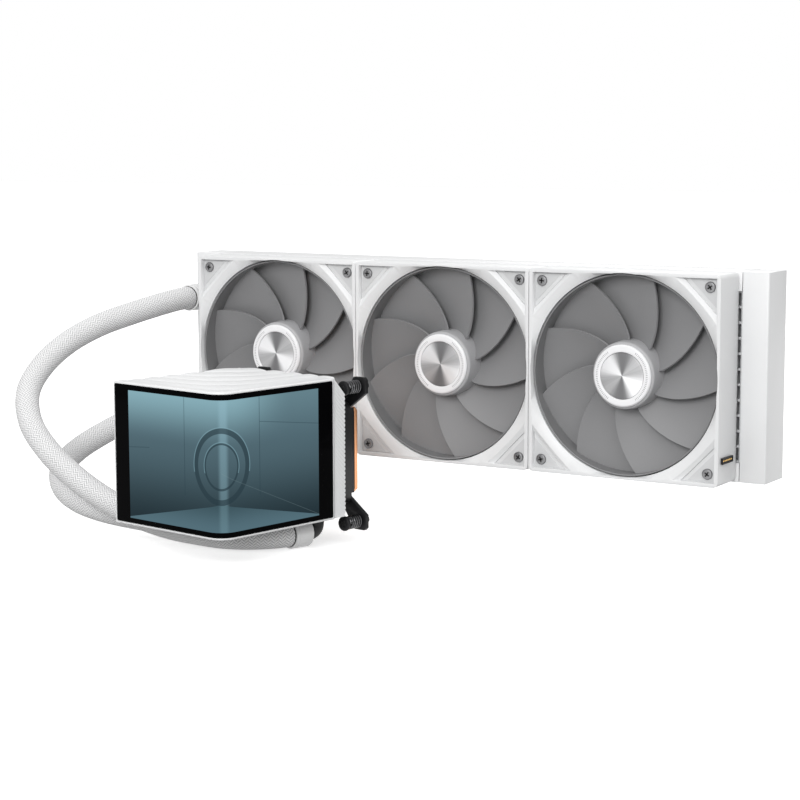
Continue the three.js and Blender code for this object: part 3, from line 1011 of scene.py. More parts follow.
@dataclass
class Studio:
    """The camera, a pale floor under the object, and soft lights."""

    place: Point = (0.62412, -1.11538, 0.08555)
    azimuth: float = 31.56
    elevation: float = 7.48
    roll: float = -0.15
    lens: float = 92.97
    above: float = 0.88
    below: float = 0.26
    horizon: float = 0.6
    floor: float = CAD_BOX[0][2] - 0.0006
    lamps: tuple[Lamp, ...] = (
        Lamp("key", (0.45, -2.1, 0.8), 24),
        Lamp("fill", (1.5, -0.9, 0.7), 2.5),
        Lamp("top", (0.0, -0.2, 1.5), 1.5),
        Lamp("back", (-0.4, 1.6, 0.9), 4),
    )

    def camera(self) -> None:
        """Places the camera."""
        data = bpy.data.cameras.new("camera")
        data.lens = self.lens
        data.sensor_width = 36
        data.clip_start, data.clip_end = 0.05, 20
        eye = bpy.data.objects.new("camera", data)
        bpy.context.scene.collection.objects.link(eye)
        turn = (Matrix.Rotation(math.radians(self.azimuth), 4, "Z")
                @ Matrix.Rotation(math.radians(90 - self.elevation), 4, "X")
                @ Matrix.Rotation(math.radians(self.roll), 4, "Z"))
        eye.matrix_world = Matrix.Translation(self.place) @ turn
        bpy.context.scene.camera = eye

    def paper(self) -> None:
        """Lays the pale floor."""
        mesh = bmesh.new()
        bmesh.ops.create_grid(mesh, x_segments=2, y_segments=2, size=6,
                              matrix=Matrix.Translation((0, 0, self.floor)))
        data = bpy.data.meshes.new("floor")
        mesh.to_mesh(data)
        mesh.free()
        graph = Graph("paper")
        tone = graph.noise(graph.place(), 2, 2)
        graph.set(Base_Color=graph.mix(tone, (0.9, 0.9, 0.9), (0.92, 0.92, 0.92)), Roughness=0.9,
                  Emission_Color=(1.0, 1.0, 1.0), Emission_Strength=0.6)
        data.materials.append(graph.material)
        floor = bpy.data.objects.new("floor", data)
        floor.visible_diffuse = False
        bpy.context.scene.collection.objects.link(floor)

    def surround(self) -> None:
        """Makes the soft surround, which is brighter above than below, and white to the camera."""
        world = bpy.data.worlds.new("surround")
        world.use_nodes = True
        tree = world.node_tree
        background = tree.nodes["Background"]
        background.inputs[0].default_value = (1, 1, 1, 1)
        height = tree.nodes.new("ShaderNodeSeparateXYZ")
        tree.links.new(tree.nodes.new("ShaderNodeTexCoord").outputs["Generated"], height.inputs[0])
        ramp = tree.nodes.new("ShaderNodeMapRange")
        edge = self.horizon
        limits = {"From Min": -edge, "From Max": edge, "To Min": self.below, "To Max": self.above}
        for name, number in limits.items():
            ramp.inputs[name].default_value = number
        tree.links.new(height.outputs["Z"], ramp.inputs["Value"])
        strength = tree.nodes.new("ShaderNodeMapRange")
        tree.links.new(ramp.outputs[0], strength.inputs["To Min"])
        seen = tree.nodes.new("ShaderNodeLightPath").outputs["Is Camera Ray"]
        tree.links.new(seen, strength.inputs["Value"])
        tree.links.new(strength.outputs[0], background.inputs[1])
        bpy.context.scene.world = world

    def build(self) -> None:
        """Sets the whole studio."""
        self.camera()
        self.paper()
        self.surround()
        for lamp in self.lamps:
            lamp.hang()
        bpy.context.scene.view_settings.view_transform = "Standard"


# ---- Hoses ----

@dataclass
class Hose:
    """A rubber hose in a braided sleeve, from a port of the radiator to a fitting of the pump."""

    name: str
    route: Sequence[Point]
    length: float
    diameter: float = 0.0144
    strands: int = 24
    slant: float = 1.05

    def build(self) -> None:
        path = smooth_path([tuple(MM * part for part in point) for point in self.route], 8)
        measured = path_length(path)
        along = measured / (math.pi * self.diameter) * self.strands * self.slant
        finish = Braid(f"{self.name}_braid", self.strands, along)
        tube = sleeve(path, self.diameter / 2, 28)
        piece = finished(f"{self.name}_sleeve", tube, finish, replaced=[self.name])
        log.info("%s measures %.4f m", self.name, measured)


UPPER_ROUTE = [
    (-190.5, -51, -22.5), (-190.7, -59, -22.7), (-193.5, -76, -25), (-200, -97, -29.5), (-207.5, -120, -35.5),
    (-214, -141.5, -44.5), (-216.5, -162, -56.5), (-212.5, -181, -71), (-200.5, -193, -87),
    (-183, -198.5, -101.5), (-163, -199.5, -115), (-142, -198, -126.5), (-119.5, -195.5, -135),
    (-98, -194, -139.6), (-78.5, -193.2, -141.2), (-61.5, -191.6, -142), (-48.7, -187.8, -142),
    (-38.3, -179.5, -142), (-33.5, -172.6, -142), (-32.2, -168.8, -142),
]
LOWER_ROUTE = [
    (-190.5, -51, -86.5), (-190.8, -59, -87), (-193.7, -71, -89.5), (-197.5, -86, -93), (-202.5, -102.5, -98),
    (-207.5, -119, -104), (-210.3, -136, -110.3), (-208.5, -152, -116.3), (-201.5, -166, -122.5),
    (-189.5, -176.5, -128.8), (-174, -182.3, -133.5), (-156, -183.7, -136.9), (-138, -181.8, -139.2),
    (-122, -178.4, -140.8), (-107.5, -174.5, -141.7), (-94.2, -170.6, -142), (-83.5, -166.2, -142),
    (-73.9, -159.8, -142), (-71.3, -157.5, -142),
]


# ---- Radiator ----

@dataclass
class Radiator:
    """Twelve flat tubes with folded fins between them, two rails, and a tank at each end."""

    half: float = 0.1808
    header: float = 0.0012
    front: float = -0.02505
    depth: float = 0.023
    tubes: int = 12
    pitch: float = 0.00884
    tube_height: float = 0.0016
    fold: float = 0.0014
    middle: float = -0.0545
    fin: float = 0.00012
    fin_inset: float = 0.0012
    fin_height: float = 0.92
    fin_margin: float = 0.002
    plug_radius: float = 0.0042
    plug_stand: float = 0.00028
    plug_depth: float = 0.0003
    plug_place: tuple[float, float] = (-0.0135, -0.105)

    def levels(self) -> list[float]:
        """The heights of the tubes."""
        return [self.middle + (i - (self.tubes - 1) / 2) * self.pitch for i in range(self.tubes)]

    def build_tubes(self) -> None:
        """Lays the flat tubes and their header plates."""
        half, back = self.tube_height / 2, self.front + self.depth
        tubes = [block((-self.half, self.front, z - half), (self.half, back, z + half), 0.0005)
                 for z in self.levels()]
        low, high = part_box("radiator_core")
        plates = [block((x, self.front, low[2]), (x + self.header, back, high[2]), 0.0002, 1)
                  for x in (low[0], high[0] - self.header)]
        finished("core_tubes", joined([*tubes, *plates]), SHADED_CORE_COAT, replaced=["radiator_core"])

    def build_fins(self) -> None:
        """Folds a thin fin strip into every gap between the tubes."""
        reach = self.half - self.fin_margin
        folds = round(2 * reach / self.fold)
        rise = self.fin_height / 2 * (self.pitch - self.tube_height)
        inset = self.fin_inset
        strips = []
        for below, above in zip(self.levels(), self.levels()[1:]):
            strip = bmesh.new()
            bmesh.ops.create_grid(strip, x_segments=folds * 2, y_segments=1, size=0.5)
            for vert in strip.verts:
                step = round((vert.co.x + 0.5) * folds * 2)
                vert.co = Vector(((step / (folds * 2) - 0.5) * 2 * reach,
                                  self.front + inset + (vert.co.y + 0.5) * (self.depth - 2 * inset),
                                  (below + above) / 2 + (rise if step % 2 else -rise)))
            bmesh.ops.solidify(strip, geom=strip.faces[:], thickness=self.fin)
            strips.append(strip)
        finished("core_fins", joined(strips), SHADED_CORE_COAT)

    def build(self) -> None:
        """Builds the core, the rails, the tanks and the plug."""
        self.build_tubes()
        self.build_fins()
        for node, width in (("upper_rail", 0.0003), ("lower_rail", 0.0003), ("port_tank", 0.0004),
                            ("far_tank", 0.0004)):
            finished(f"{node}_skin", softened(node, width), WHITE_COAT, replaced=[node])
        self.build_filler_plug()

    def build_filler_plug(self) -> None:
        """Puts the filler plug on the outer end of the far tank."""
        wide, deep = self.plug_radius, self.plug_depth
        plug = turned(rounded([(0, 0), (wide, 0), (wide, deep), (0, deep)], 0.0002), 32)
        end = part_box("far_tank")[1][0] - deep + self.plug_stand
        place = Matrix.Translation((end, *self.plug_place)) @ Matrix.Rotation(math.radians(90), 4, "Z")
        finished("filler_plug", placed(plug, place), WHITE_PLASTIC)


@dataclass
class HoseEnds:
    """The sleeves at both ends of the hoses, and the spigots on the radiator."""

    pump_ends: dict[str, tuple[Point, float, float]]
    radius: float = 0.0085
    bore: float = 0.00722
    tail: float = 0.0064
    lip: float = 0.0006
    groove: float = 0.00025
    port: tuple[float, float] = (-0.1905, -0.0505)
    port_heights: tuple[tuple[str, float], ...] = (("upper", -0.0225), ("lower", -0.0865))
    port_length: float = 0.014

    def sleeve_shape(self, length: float) -> bmesh.types.BMesh:
        """A sleeve with rolled lips and a pressed groove.

        Args:
            length: its length.

        Returns:
            The mesh, its mouth at y = 0.
        """
        r, bore, tail, lip, pressed = self.radius, self.bore, self.tail, self.lip, self.radius - self.groove
        outline = [
            (bore, lip), (bore + 0.0001, 0), (r, 0), (r, 0.0022), (pressed, 0.0025), (pressed, 0.0031),
            (r, 0.0034), (r, length), (tail, length), (tail, length - MM), (bore, length - MM),
        ]
        return turned(rounded(outline, lip, 2), 56)

    def build(self) -> None:
        """Places the sleeves and the spigots."""
        ends = {f"{side}_port_ferrule": ((*self.port, height), self.port_length, 0.0)
                for side, height in self.port_heights}
        for node, (mouth, length, heading) in {**ends, **self.pump_ends}.items():
            place = Matrix.Translation(mouth) @ Matrix.Rotation(-heading, 4, "Z")
            finished(f"{node}_sleeve", placed(self.sleeve_shape(length), place), WHITE_GLOSS,
                     replaced=[node])
        for node in (f"{side}_port_fitting" for side, _ in self.port_heights):
            finished(f"{node}_spigot", softened(node, 0.0003), BLACK_PLASTIC, replaced=[node])


# ---- Fans ----

@dataclass
class Fan:
    """A square fan: a frame with corner pads, nine swept blades, a hub with its disc, and four screws."""

    number: int
    centre: Point
    side: float = 0.1194
    depth: float = 0.026
    back: float = -0.0275
    duct: float = 0.0587
    mouth: float = 0.0664
    mouth_flat: float = 0.0582
    pad_edge: float = 0.0575
    pocket_leg: float = 0.0262
    floor_leg: float = 0.0215
    pad_leg: float = 0.0165
    screw_pitch: float = 0.105
    tip: float = 0.0573
    rim: float = 0.0581
    rim_wall: float = 0.0009
    blades: int = 9
    root: float = 0.0188
    camber: float = 0.0016
    sweep: float = 0.34
    blade_middle: float = 0.0125
    blade_wall: float = 0.0011
    hub: float = 0.0205
    hub_back: float = 0.0055
    corner: float = 0.003
    screw_hole: float = 0.0022
    motor_depth: float = 0.0042
    motor_inset: float = 0.0007
    strut: float = 0.0022
    screw_seat: float = 0.00335
    screw_radius: float = 0.00315
    screw_head: float = 0.0019
    screw_length: float = 0.0245
    screw_shank: float = 0.0015

    @property
    def front(self) -> float:
        """The fan's front plane."""
        return self.back - self.depth

    @property
    def name(self) -> str:
        """The fan's name."""
        return f"fan_{self.number}"

    @property
    def body(self) -> str:
        """The body that turns."""
        return f"fan_{self.number}_impeller"

    @property
    def place(self) -> Matrix:
        """Where the fan's own frame is."""
        return Matrix.Translation((self.centre[0], 0, self.centre[2]))

    def opening(self, front: tuple[float, float], back: tuple[float, float],
                flat: float) -> bmesh.types.BMesh:
        """A round cutter with flats, which may taper.

        Args:
            front: its radius and y at the front.
            back: its radius and y at the back.
            flat: where its sides are cut flat.

        Returns:
            The cutter.
        """
        tool = turned([(0, front[1]), (front[0], front[1]), (back[0], back[1]), (0, back[1])], 144)
        for vert in tool.verts:
            vert.co.x = max(-flat, min(flat, vert.co.x))
            vert.co.z = max(-flat, min(flat, vert.co.z))
        bmesh.ops.remove_doubles(tool, verts=tool.verts, dist=0.000001)
        bmesh.ops.dissolve_degenerate(tool, dist=0.000001, edges=tool.edges)
        return tool

    def pocket(self, sx: int, sz: int, legs: tuple[float, float],
               depths: tuple[float, float]) -> bmesh.types.BMesh:
        """A three-cornered cutter in one corner, whose long side may slope.

        Args:
            sx: the corner's side along X.
            sz: the corner's side along Z.
            legs: its leg at the front and at the back.
            depths: where it starts and ends, from the fan's front.

        Returns:
            The cutter.
        """
        e = self.pad_edge
        outline = [(sx * e, sz * e), (sx * (e - legs[0]), sz * e), (sx * e, sz * (e - legs[0]))]
        tool = prism(outline, self.front + depths[0], self.front + depths[1])
        for vert in tool.verts:
            if vert.co.y > self.front + (depths[0] + depths[1]) / 2:
                for axis, sign in ((0, sx), (2, sz)):
                    if abs(vert.co[axis] - sign * (e - legs[0])) < 0.0001:
                        vert.co[axis] = sign * (e - legs[1])
        return tool

    def frame_shape(self) -> bmesh.types.BMesh:
        """The frame: a square body, flared duct, corner pockets, screw holes, struts and motor plate."""
        half = self.side / 2
        body = block((-half, self.front, -half), (half, self.back, half))
        upright = [e for e in body.edges if abs(e.verts[0].co.y - e.verts[1].co.y) > self.depth / 2]
        bmesh.ops.bevel(body, geom=upright, offset=self.corner, segments=6, profile=0.5, affect="EDGES",
                        material=-1)
        tools = [
            self.opening((self.duct, self.front - MM), (self.duct, self.back + MM), self.duct),
            self.opening((self.mouth + 0.0008, self.front - 0.0003), (self.duct, self.front + 0.0027),
                         self.mouth_flat),
        ]
        for sx in (-1, 1):
            for sz in (-1, 1):
                slope = (self.pocket_leg + 0.0006, self.floor_leg)
                tools.append(self.pocket(sx, sz, slope, (-0.0004, 0.0024)))
                tools.append(self.pocket(sx, sz, (self.floor_leg - 0.0001,) * 2, (0.002, 0.0035)))
                hole = turned([(0, self.front), (self.screw_hole, self.front),
                               (self.screw_hole, self.back + MM), (0, self.back + MM)], 20)
                at = Matrix.Translation((sx * self.screw_pitch / 2, 0, sz * self.screw_pitch / 2))
                tools.append(placed(hole, at))
        shell = bevelled(carved(body, tools), 0.00035, 2, 30)
        front, back, reach = self.back - self.motor_depth, self.back - self.motor_inset, half - 0.0003
        plate = turned([(0, front), (self.hub, front), (self.hub, back), (0, back)], 48)
        struts = [placed(block((-reach, front, -self.strut), (reach, back, self.strut), 0.0005),
                         Matrix.Rotation(math.radians(angle), 4, "Y")) for angle in (45, 135)]
        return joined([shell, bevelled(plate, 0.0005), *struts])

    def pads(self) -> list[bmesh.types.BMesh]:
        """The soft corner pads, in two steps: a broad one and a smaller one on it."""
        broad, small = [], []
        e = self.pad_edge - 0.0003
        for sx in (-1, 1):
            for sz in (-1, 1):
                for group, leg, lift, inset in ((broad, self.floor_leg - 0.0012, 0.0030, 0.0),
                                                (small, self.pad_leg, 0.0027, 0.0004)):
                    outline = [(sx * e, sz * e), (sx * (e - leg), sz * e), (sx * e, sz * (e - leg))]
                    outline = [(x - sx * inset, z - sz * inset) for x, z in outline]
                    group.append(bevelled(prism(outline, self.front + lift, self.front + 0.0036), 0.00015))
        return [joined(broad), joined(small)]

    def blade(self) -> bmesh.types.BMesh:
        """One thin blade wrapped round the axis: steep at the root, broad and swept at the tip."""
        mesh = bmesh.new()
        across, outwards = 12, 14
        bmesh.ops.create_grid(mesh, x_segments=outwards, y_segments=across, size=0.5)
        for vert in mesh.verts:
            out, along = vert.co.x + 0.5, vert.co.y
            chord = (22 + 27 * out ** 0.8) * MM
            pitch = math.radians(23 - 15 * out ** 0.6)
            radius = self.root + out * (self.tip - self.root)
            camber = self.camber * (1 - 4 * along * along)
            swing = along * chord * math.cos(pitch) - camber * math.sin(pitch)
            angle = swing / radius + self.sweep * out
            depth = along * chord * math.sin(pitch) + camber * math.cos(pitch)
            vert.co = Vector((radius * math.cos(angle), self.front + self.blade_middle + depth,
                              radius * math.sin(angle)))
        bmesh.ops.recalc_face_normals(mesh, faces=mesh.faces)
        bmesh.ops.solidify(mesh, geom=mesh.faces[:], thickness=self.blade_wall)
        return mesh

    def cup_shape(self) -> bmesh.types.BMesh:
        """The hub cup, open at the back round its spindle."""
        front, back, spindle, wall = self.front + 0.0017, self.back - self.hub_back, 0.0015, 0.003
        inner, floor = self.hub - wall, front + 0.0025
        outline = [
            (0, front), (self.hub - 0.0021, front), (self.hub - 0.0011, front + MM), (self.hub, back),
            (inner, back), (inner, floor), (spindle, floor), (spindle, back - MM), (0, back - MM),
        ]
        return turned(rounded(outline, 0.0004, 2), 72)

    def wheel_shape(self) -> bmesh.types.BMesh:
        """The blades, with the ring round their tips."""
        step = 2 * math.pi / self.blades
        vanes = [placed(self.blade(), Matrix.Rotation(i * step, 4, "Y")) for i in range(self.blades)]
        inner, lip, back = self.rim - self.rim_wall, self.front + 0.0034, self.back - self.hub_back
        ring = [(inner, lip), (inner + 0.0005, self.front + 0.003), (self.rim, lip), (self.rim, back),
                (inner, back)]
        return joined([turned(ring, 144), *vanes])

    def build_hub(self) -> None:
        """Makes the spun disc and the ring round it."""
        front = self.front
        ring = turned(rounded([
            (0.0136, front + 0.0014), (0.0136, front + 0.0002), (0.0142, front), (0.0172, front),
            (0.018, front + 0.0008), (0.018, front + 0.0014), (0.0136, front + 0.0014)][:-1], 0.0003, 3), 96)
        disc = turned([(0, front + 0.00055), (0.0128, front + 0.0002), (0.0134, front + 0.0004),
                       (0.0134, front + 0.0014), (0, front + 0.0014)], 96)
        ticked = TickedRing(f"{self.name}_ring", self.centre)
        finished(f"{self.name}_hub_ring", placed(ring, self.place), ticked, self.body,
                 [f"{self.name}_hub_cap"])
        spun = SpunDisc(f"{self.name}_disc", self.centre)
        finished(f"{self.name}_hub_disc", placed(disc, self.place), spun, self.body)

    def build_screws(self) -> None:
        """Drives the four long screws."""
        corners = [(sx, sz) for sx in (-1, 1) for sz in (-1, 1)]
        reach, seat = self.screw_pitch / 2, self.front + self.screw_seat
        shade_inserts = []
        for number, (sx, sz) in enumerate(corners, 1):
            node = f"{self.name}_screw_{number}"
            screw = cross_headed(self.screw_radius, self.screw_head, self.screw_length, self.screw_shank)
            at = Matrix.Translation((self.centre[0] + sx * reach, seat, self.centre[2] + sz * reach))
            at = at @ Matrix.Rotation(math.radians(20 + 25 * sx + 10 * sz), 4, "Y")
            finished(f"{node}_head", placed(screw, at), SCREW_STEEL, replaced=[node])
            # A black block inside each recess paints the shade there.
            shade_inserts.append(placed(recess_shade_insert(self.screw_radius, self.screw_head), at))
        finished(f"{self.name}_screw_recess_shades", joined(shade_inserts), PAINTED_RECESS_SHADE)

    def build(self) -> None:
        """Builds the fan."""
        finished(f"{self.name}_shroud", placed(self.frame_shape(), self.place), WHITE_PLASTIC,
                 replaced=[f"{self.name}_frame"])
        # The smaller pads take the darker grey, which paints shade.
        for label, mesh, finish in zip(("broad", "small"), self.pads(), (PAD_GREY, PAD_SHADED)):
            finished(f"{self.name}_pads_{label}", placed(mesh, self.place), finish)
        finished(f"{self.name}_hub_cup", placed(self.cup_shape(), self.place), HUB_GREY, self.body)
        finished(f"{self.name}_wheel", placed(self.wheel_shape(), self.place), FAN_GREY, self.body,
                 [f"{self.name}_rotor"])
        self.build_hub()
        self.build_screws()


@dataclass
class LinkSocket:
    """The black socket on the last fan's side, with its row of gold contacts."""

    contacts: int = 6
    wall: float = 0.0006
    well: float = 0.0007
    contact_half: float = 0.0005

    def build(self) -> None:
        """Builds the socket and its contacts."""
        low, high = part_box("fan_link_socket")
        well = block((high[0] - self.well, low[1] + self.wall, low[2] + self.wall),
                     (high[0] + MM, high[1] - self.wall, high[2] - self.wall))
        finished("link_socket_body", bevelled(carved(block(tuple(low), tuple(high)), [well]), 0.0001, 1),
                 BLACK_PLASTIC, replaced=["fan_link_socket"])
        step = (high[1] - low[1] - 2 * MM) / self.contacts
        z = (low[2] + high[2]) / 2
        pins = []
        for i in range(self.contacts):
            y = low[1] + MM + (i + 0.5) * step
            pins.append(block((high[0] - 0.0008, y - 0.3 * step, z - self.contact_half),
                              (high[0] - 0.0003, y + 0.3 * step, z + self.contact_half), 0.0001, 1))
        finished("link_socket_contacts", joined(pins), GOLD)


# ---- Pump block ----

@dataclass
class PumpBlock:
    """The pump, its cold plate and clamp, and the cover with its wrap-around display."""

    pump_axis: tuple[float, float] = (-0.044, -0.006)
    plate_face: float = 0.1242
    bend: float = 0.010
    glass_reach: float = 0.086
    glass_height: float = 0.0773
    lit_reach: float = 0.0744
    lit_height: float = 0.0717
    shell_reach: float = 0.0874
    shell_height: float = 0.0802
    shell_depth: float = 0.008
    cover_left: float = -0.0871
    cover_back: float = 0.0962
    cover_top: float = 0.0398
    cover_bottom: float = -0.037
    rib_pitch: float = 0.0125
    plate_rib: float = 0.0025
    plate_depths: tuple[float, float] = (0.0878, 0.0962)
    plate_sides: tuple[float, float] = (-0.0002, -0.0091)
    plate_bottom: float = -0.0395
    screw_offset: float = 0.039
    screw_seat: float = 0.1012
    screw_radius: float = 0.0043
    screw_head: float = 0.0022
    screw_length: float = 0.0183
    screw_shank: float = 0.0021
    spring_start: float = 0.1015
    spring_end: float = 0.1119
    spring_anchor: float = 0.112
    spring_turns: float = 5.5
    spring_radius: float = 0.0034
    wire: float = 0.0005
    fittings: tuple[tuple[str, tuple[float, float], float], ...] = (
        ("near", (-0.020, 0.070), 8), ("far", (-0.060, 0.074), 36.87))
    fitting_level: float = -0.0486
    fitting_length: float = 0.012
    elbow_radius: float = 0.0056
    elbow_reach: float = 0.0185

    def __post_init__(self) -> None:
        """Finds the block's own frame from the cold plate's mount."""
        face = mount("cold_plate_face")
        depth = Vector(face["axis"])
        across = depth.cross(Vector((0, 0, 1)))
        self.yaw = math.atan2(across.y, across.x)
        self.corner = (Vector(face["pos_m"]) - depth * self.plate_face - across * self.pump_axis[0]
                       - Vector((0, 0, self.pump_axis[1])))
        self.place = Matrix.Translation(self.corner) @ Matrix.Rotation(self.yaw, 4, "Z")
        self.depth_axis = depth

    def wrapped(self, mesh: bmesh.types.BMesh) -> bmesh.types.BMesh:
        """Bends a flat mesh round the display's upright corner.

        Args:
            mesh: drawn flat, with x along the wrap, y into the block and z up.

        Returns:
            The same mesh, in the row's frame.
        """
        r = self.bend
        quarter = r * math.pi / 4
        for vert in mesh.verts:
            along, deep, z = vert.co
            if along < -quarter:
                vert.co = Vector((along + quarter - r, deep, z))
            elif along > quarter:
                vert.co = Vector((-deep, along - quarter + r, z))
            else:
                angle = along / r - math.pi / 4
                vert.co = Vector((-r + (r - deep) * math.cos(angle), r + (r - deep) * math.sin(angle), z))
        return placed(mesh, self.place)

    def strip(self, reach: float, y0: float, y1: float, half: float, width: float) -> bmesh.types.BMesh:
        """A flat bar, ready to be wrapped, with rounded edges and enough steps at the bend.

        Args:
            reach: how far each leg goes from the corner.
            y0: its face.
            y1: its back.
            half: half its height.
            width: the rounding's width.

        Returns:
            The mesh.
        """
        end = reach - self.bend + self.bend * math.pi / 4
        return self.bend_ready(block((-end, y0, -half), (end, y1, half), width, 3))

    def build_display(self) -> None:
        """Makes the white tray and the wrapped cover glass in it."""
        tray = self.strip(self.shell_reach, 0.0001, self.shell_depth, self.shell_height / 2, 0.0008)
        hollow = self.strip(self.glass_reach + 0.0003, -MM, 0.0033, self.glass_height / 2 + 0.0003, 0.0012)
        tray = bevelled(carved(tray, [hollow]), 0.0002, 2, 50)
        finished("display_tray", self.wrapped(self.bend_ready(tray)), WHITE_PLASTIC,
                 replaced=["display_shell"])
        glass = self.strip(self.glass_reach, 0.0, 0.0012, self.glass_height / 2, 0.00045)
        picture = WrappedPicture("display_picture_glass", tuple(self.corner), self.yaw, self.lit_height / 2,
                                 self.lit_reach)
        finished("display_cover_glass", self.wrapped(glass), picture,
                 replaced=["display_glass"])

    def bend_ready(self, mesh: bmesh.types.BMesh) -> bmesh.types.BMesh:
        """Cuts a flat mesh into steps where it will bend.

        Args:
            mesh: the flat mesh.

        Returns:
            The same mesh.
        """
        quarter = self.bend * math.pi / 4
        steps = 20
        for i in range(steps + 1):
            x = -quarter + 2 * quarter * i / steps
            bmesh.ops.bisect_plane(mesh, geom=mesh.verts[:] + mesh.edges[:] + mesh.faces[:], dist=0.0000005,
                                   plane_co=(x, 0, 0), plane_no=(1, 0, 0))
        return mesh

    def wave(self, x: float, y: float) -> float:
        """The height of the cover's ribs, which follow both faces of the display.

        Args:
            x: across the block.
            y: into the block.

        Returns:
            The height below the crown, from 0 to 1.
        """
        first, second = -x, y
        blend = 0.009 + 0.22 * max(0.0, min(first, second))
        mean = -blend * math.log((math.exp(-first / blend) + math.exp(-second / blend)))
        phase = math.pi * (mean + 0.0045) / self.rib_pitch
        return 1 - abs(math.sin(phase)) ** 0.55

    def build_cover(self) -> None:
        """Makes the ribbed cover: its waved top, plain sides and open back."""
        start = self.shell_depth + 0.0003
        low = (self.cover_left, start, self.cover_bottom)
        high = (-start, self.cover_back, self.cover_top)
        cover = block(low, high)
        top = [e for e in cover.edges if min(v.co.z for v in e.verts) > self.cover_top - MM]
        cuts = 95
        bmesh.ops.subdivide_edges(cover, edges=top, cuts=cuts, use_grid_fill=True)
        for vert in cover.verts:
            if vert.co.z > self.cover_top - MM:
                deep = max(0.0, min(-vert.co.x, vert.co.y))
                vert.co.z -= (0.0006 + 0.010 * deep) * self.wave(vert.co.x, vert.co.y)
        back = [f for f in cover.faces if min(v.co.y for v in f.verts) > self.cover_back - 0.0001]
        bmesh.ops.delete(cover, geom=back, context="FACES")
        rims = [e for e in cover.edges if not e.is_boundary and e.calc_face_angle(0) > 1.0]
        bmesh.ops.bevel(cover, geom=rims, offset=0.0007, segments=3, profile=0.5, affect="EDGES", material=-1)
        bmesh.ops.recalc_face_normals(cover, faces=cover.faces)
        bmesh.ops.solidify(cover, geom=cover.faces[:], thickness=0.0016)
        way = block((-0.080, start + 0.002, self.cover_bottom - MM),
                    (-start - 0.0016, 0.073, self.cover_bottom + 0.002))
        finished("ribbed_cover", placed(carved(cover, [way]), self.place), WHITE_PLASTIC,
                 replaced=["rear_cover"])

    def build_side_plate(self) -> None:
        """Makes the plate behind the right face, with fine slanting ribs that notch its rear edge."""
        (y0, y1), (face, back), bottom = self.plate_depths, self.plate_sides, self.plate_bottom
        mesh = bmesh.new()
        columns, rows = 12, 320
        bmesh.ops.create_grid(mesh, x_segments=columns, y_segments=rows, size=0.5)
        for vert in mesh.verts:
            across, up = vert.co.x + 0.5, vert.co.y + 0.5
            y = y0 + across * (y1 - y0)
            limit = self.shell_height / 2 - 0.0006 - across * 0.0092
            z = bottom + up * (limit - bottom)
            groove = abs(math.sin(math.pi * (z + (y - y0)) / self.plate_rib)) ** 0.5
            edge = min(1.0, across * 6, up * 60, (1 - up) * 60)
            y -= 0.0006 * (1 - groove) * (across > 0.95)
            vert.co = Vector((face - 0.0004 * (1 - groove) * edge, y, z))
        rim = [e for e in mesh.edges if e.is_boundary]
        drawn = bmesh.ops.extrude_edge_only(mesh, edges=rim)
        moved = [part for part in drawn["geom"] if isinstance(part, bmesh.types.BMVert)]
        for vert in moved:
            vert.co.x = back
        bmesh.ops.holes_fill(mesh, edges=[e for e in mesh.edges if e.is_boundary], sides=0)
        bmesh.ops.recalc_face_normals(mesh, faces=mesh.faces)
        finished("side_plate", placed(mesh, self.place), WHITE_PLASTIC)

    def build_pump(self) -> None:
        """Dresses the housing, the clamp and the cold plate."""
        finished("pump_case", softened("pump_housing", 0.0006), BLACK_PLASTIC,
                 replaced=["pump_housing"])
        finished("clamp_frame", softened("mounting_bracket", 0.0004), BLACK_COAT,
                 replaced=["mounting_bracket"])
        finished("copper_plate", softened("cold_plate", 0.0003), COPPER, replaced=["cold_plate"])

    def build_clamp_screws(self) -> None:
        """Makes the four sprung screws and their coils."""
        corners = [(sx, sz) for sx in (-1, 1) for sz in (-1, 1)]
        turn = Matrix.Rotation(math.radians(30), 4, "Y")
        for number, (sx, sz) in enumerate(corners, 1):
            body = f"clamp_screw_{number}"
            x, z = self.pump_axis[0] + sx * self.screw_offset, self.pump_axis[1] + sz * self.screw_offset
            at = self.place @ Matrix.Translation((x, self.screw_seat, z)) @ turn
            screw = cross_headed(self.screw_radius, self.screw_head, self.screw_length, self.screw_shank)
            finished(f"{body}_head", placed(screw, at), BLACK_COAT, body,
                     [f"spring_screw_{number}"])
            # A black block inside the recess paints the shade there.
            recess = recess_shade_insert(self.screw_radius, self.screw_head)
            finished(f"{body}_recess", placed(recess, at), PAINTED_RECESS_SHADE, body)
            self.build_spring(number, x, z)

    def build_spring(self, number: int, x: float, z: float) -> None:
        """Winds one spring between a screw's head and the clamp.

        Args:
            number: which screw.
            x: its place across the block.
            z: its height.
        """
        steps = round(self.spring_turns * 20)
        start, run = self.spring_start + self.wire, self.spring_end - self.spring_start - 2 * self.wire
        coil = []
        for i in range(steps + 1):
            angle = 2 * math.pi * self.spring_turns * i / steps
            across, up = self.spring_radius * math.cos(angle), self.spring_radius * math.sin(angle)
            coil.append(self.place @ Vector((x + across, start + run * i / steps, z + up)))
        piece = finished(f"spring_{number}_coil", sleeve(coil, self.wire, 8), SPRING_STEEL,
                         replaced=[f"spring_{number}"])
        anchor = self.place @ Vector((x, self.spring_anchor, z))
        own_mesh(piece)

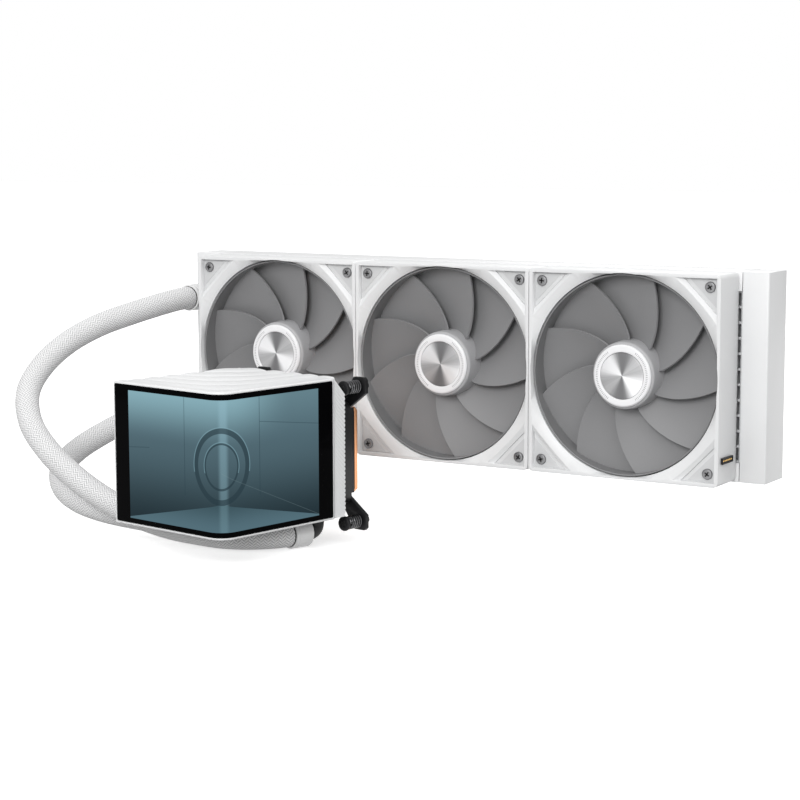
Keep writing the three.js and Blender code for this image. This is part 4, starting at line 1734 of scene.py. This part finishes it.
    def build_elbow(self, node: str, mouth: tuple[float, float], heading: float) -> None:
        """Makes one swivel elbow from the pump's underside into its hose.

        Args:
            node: the CAD elbow.
            mouth: the sleeve's mouth in the block's frame.
            heading: the way it points, in radians from the block's depth.
        """
        away = Vector((math.sin(heading), math.cos(heading), 0))
        foot = Vector((*mouth, self.fitting_level))
        riser = foot + away * self.elbow_reach
        points = [Vector((riser.x, riser.y, z)) for z in (-0.0364, -0.0400, -0.0430)]
        points += [foot + away * out + Vector((0, 0, rise)) for out, rise in (
            (0.0177, 0.0020), (0.0150, 0.0004), (0.0125, 0), (0.0060, 0), (0.0015, 0))]
        path = [self.place @ point for point in smooth_path([tuple(p) for p in points], 5)]
        finished(f"{node}_bend", sleeve(path, self.elbow_radius, 36), BLACK_PLASTIC,
                 replaced=[node])

    def build(self) -> None:
        """Builds the block."""
        self.build_display()
        self.build_cover()
        self.build_side_plate()
        self.build_pump()
        self.build_clamp_screws()
        for side, mouth, heading in self.fittings:
            self.build_elbow(f"{side}_elbow", mouth, math.radians(heading))

    def ends(self) -> dict[str, tuple[Point, float, float]]:
        """The hose sleeves at the pump: mouth, length and heading in the row's frame."""
        result = {}
        for side, mouth, heading in self.fittings:
            at = self.place @ Vector((*mouth, self.fitting_level))
            turn = math.radians(heading) - self.yaw
            result[f"{side}_pump_ferrule"] = (tuple(at), self.fitting_length, turn)
        return result


def dress_hidden_nodes() -> None:
    """Gives the inner CAD nodes, seen only through gaps, their own materials."""
    inner = {
        "controller_board": BOARD, "display_panel": SCREEN_BACK, "pump_stator": WINDING, "seal_ring": RUBBER,
        "pump_impeller": WHITE_GLOSS,
        **{f"fan_{number}_stator": WINDING for number in (1, 2, 3)},
    }
    for node, finish in inner.items():
        data = frame["nodes"][node].data
        data.materials.clear()
        data.materials.append(material_of(finish))


def main() -> None:
    """Builds the studio, the hoses and then each sub-assembly."""
    logging.basicConfig(level=logging.INFO, format="%(message)s")
    Studio().build()
    Hose("upper_hose", UPPER_ROUTE, 0.3627).build()
    Hose("lower_hose", LOWER_ROUTE, 0.2684).build()
    pump = PumpBlock()
    HoseEnds(pump.ends()).build()
    Radiator().build()
    for number in (1, 2, 3):
        Fan(number, tuple(joint(f"fan_{number}_spin")["pos_m"])).build()
    LinkSocket().build()
    pump.build()
    dress_hidden_nodes()
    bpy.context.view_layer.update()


if __name__ == "__main__":
    main()
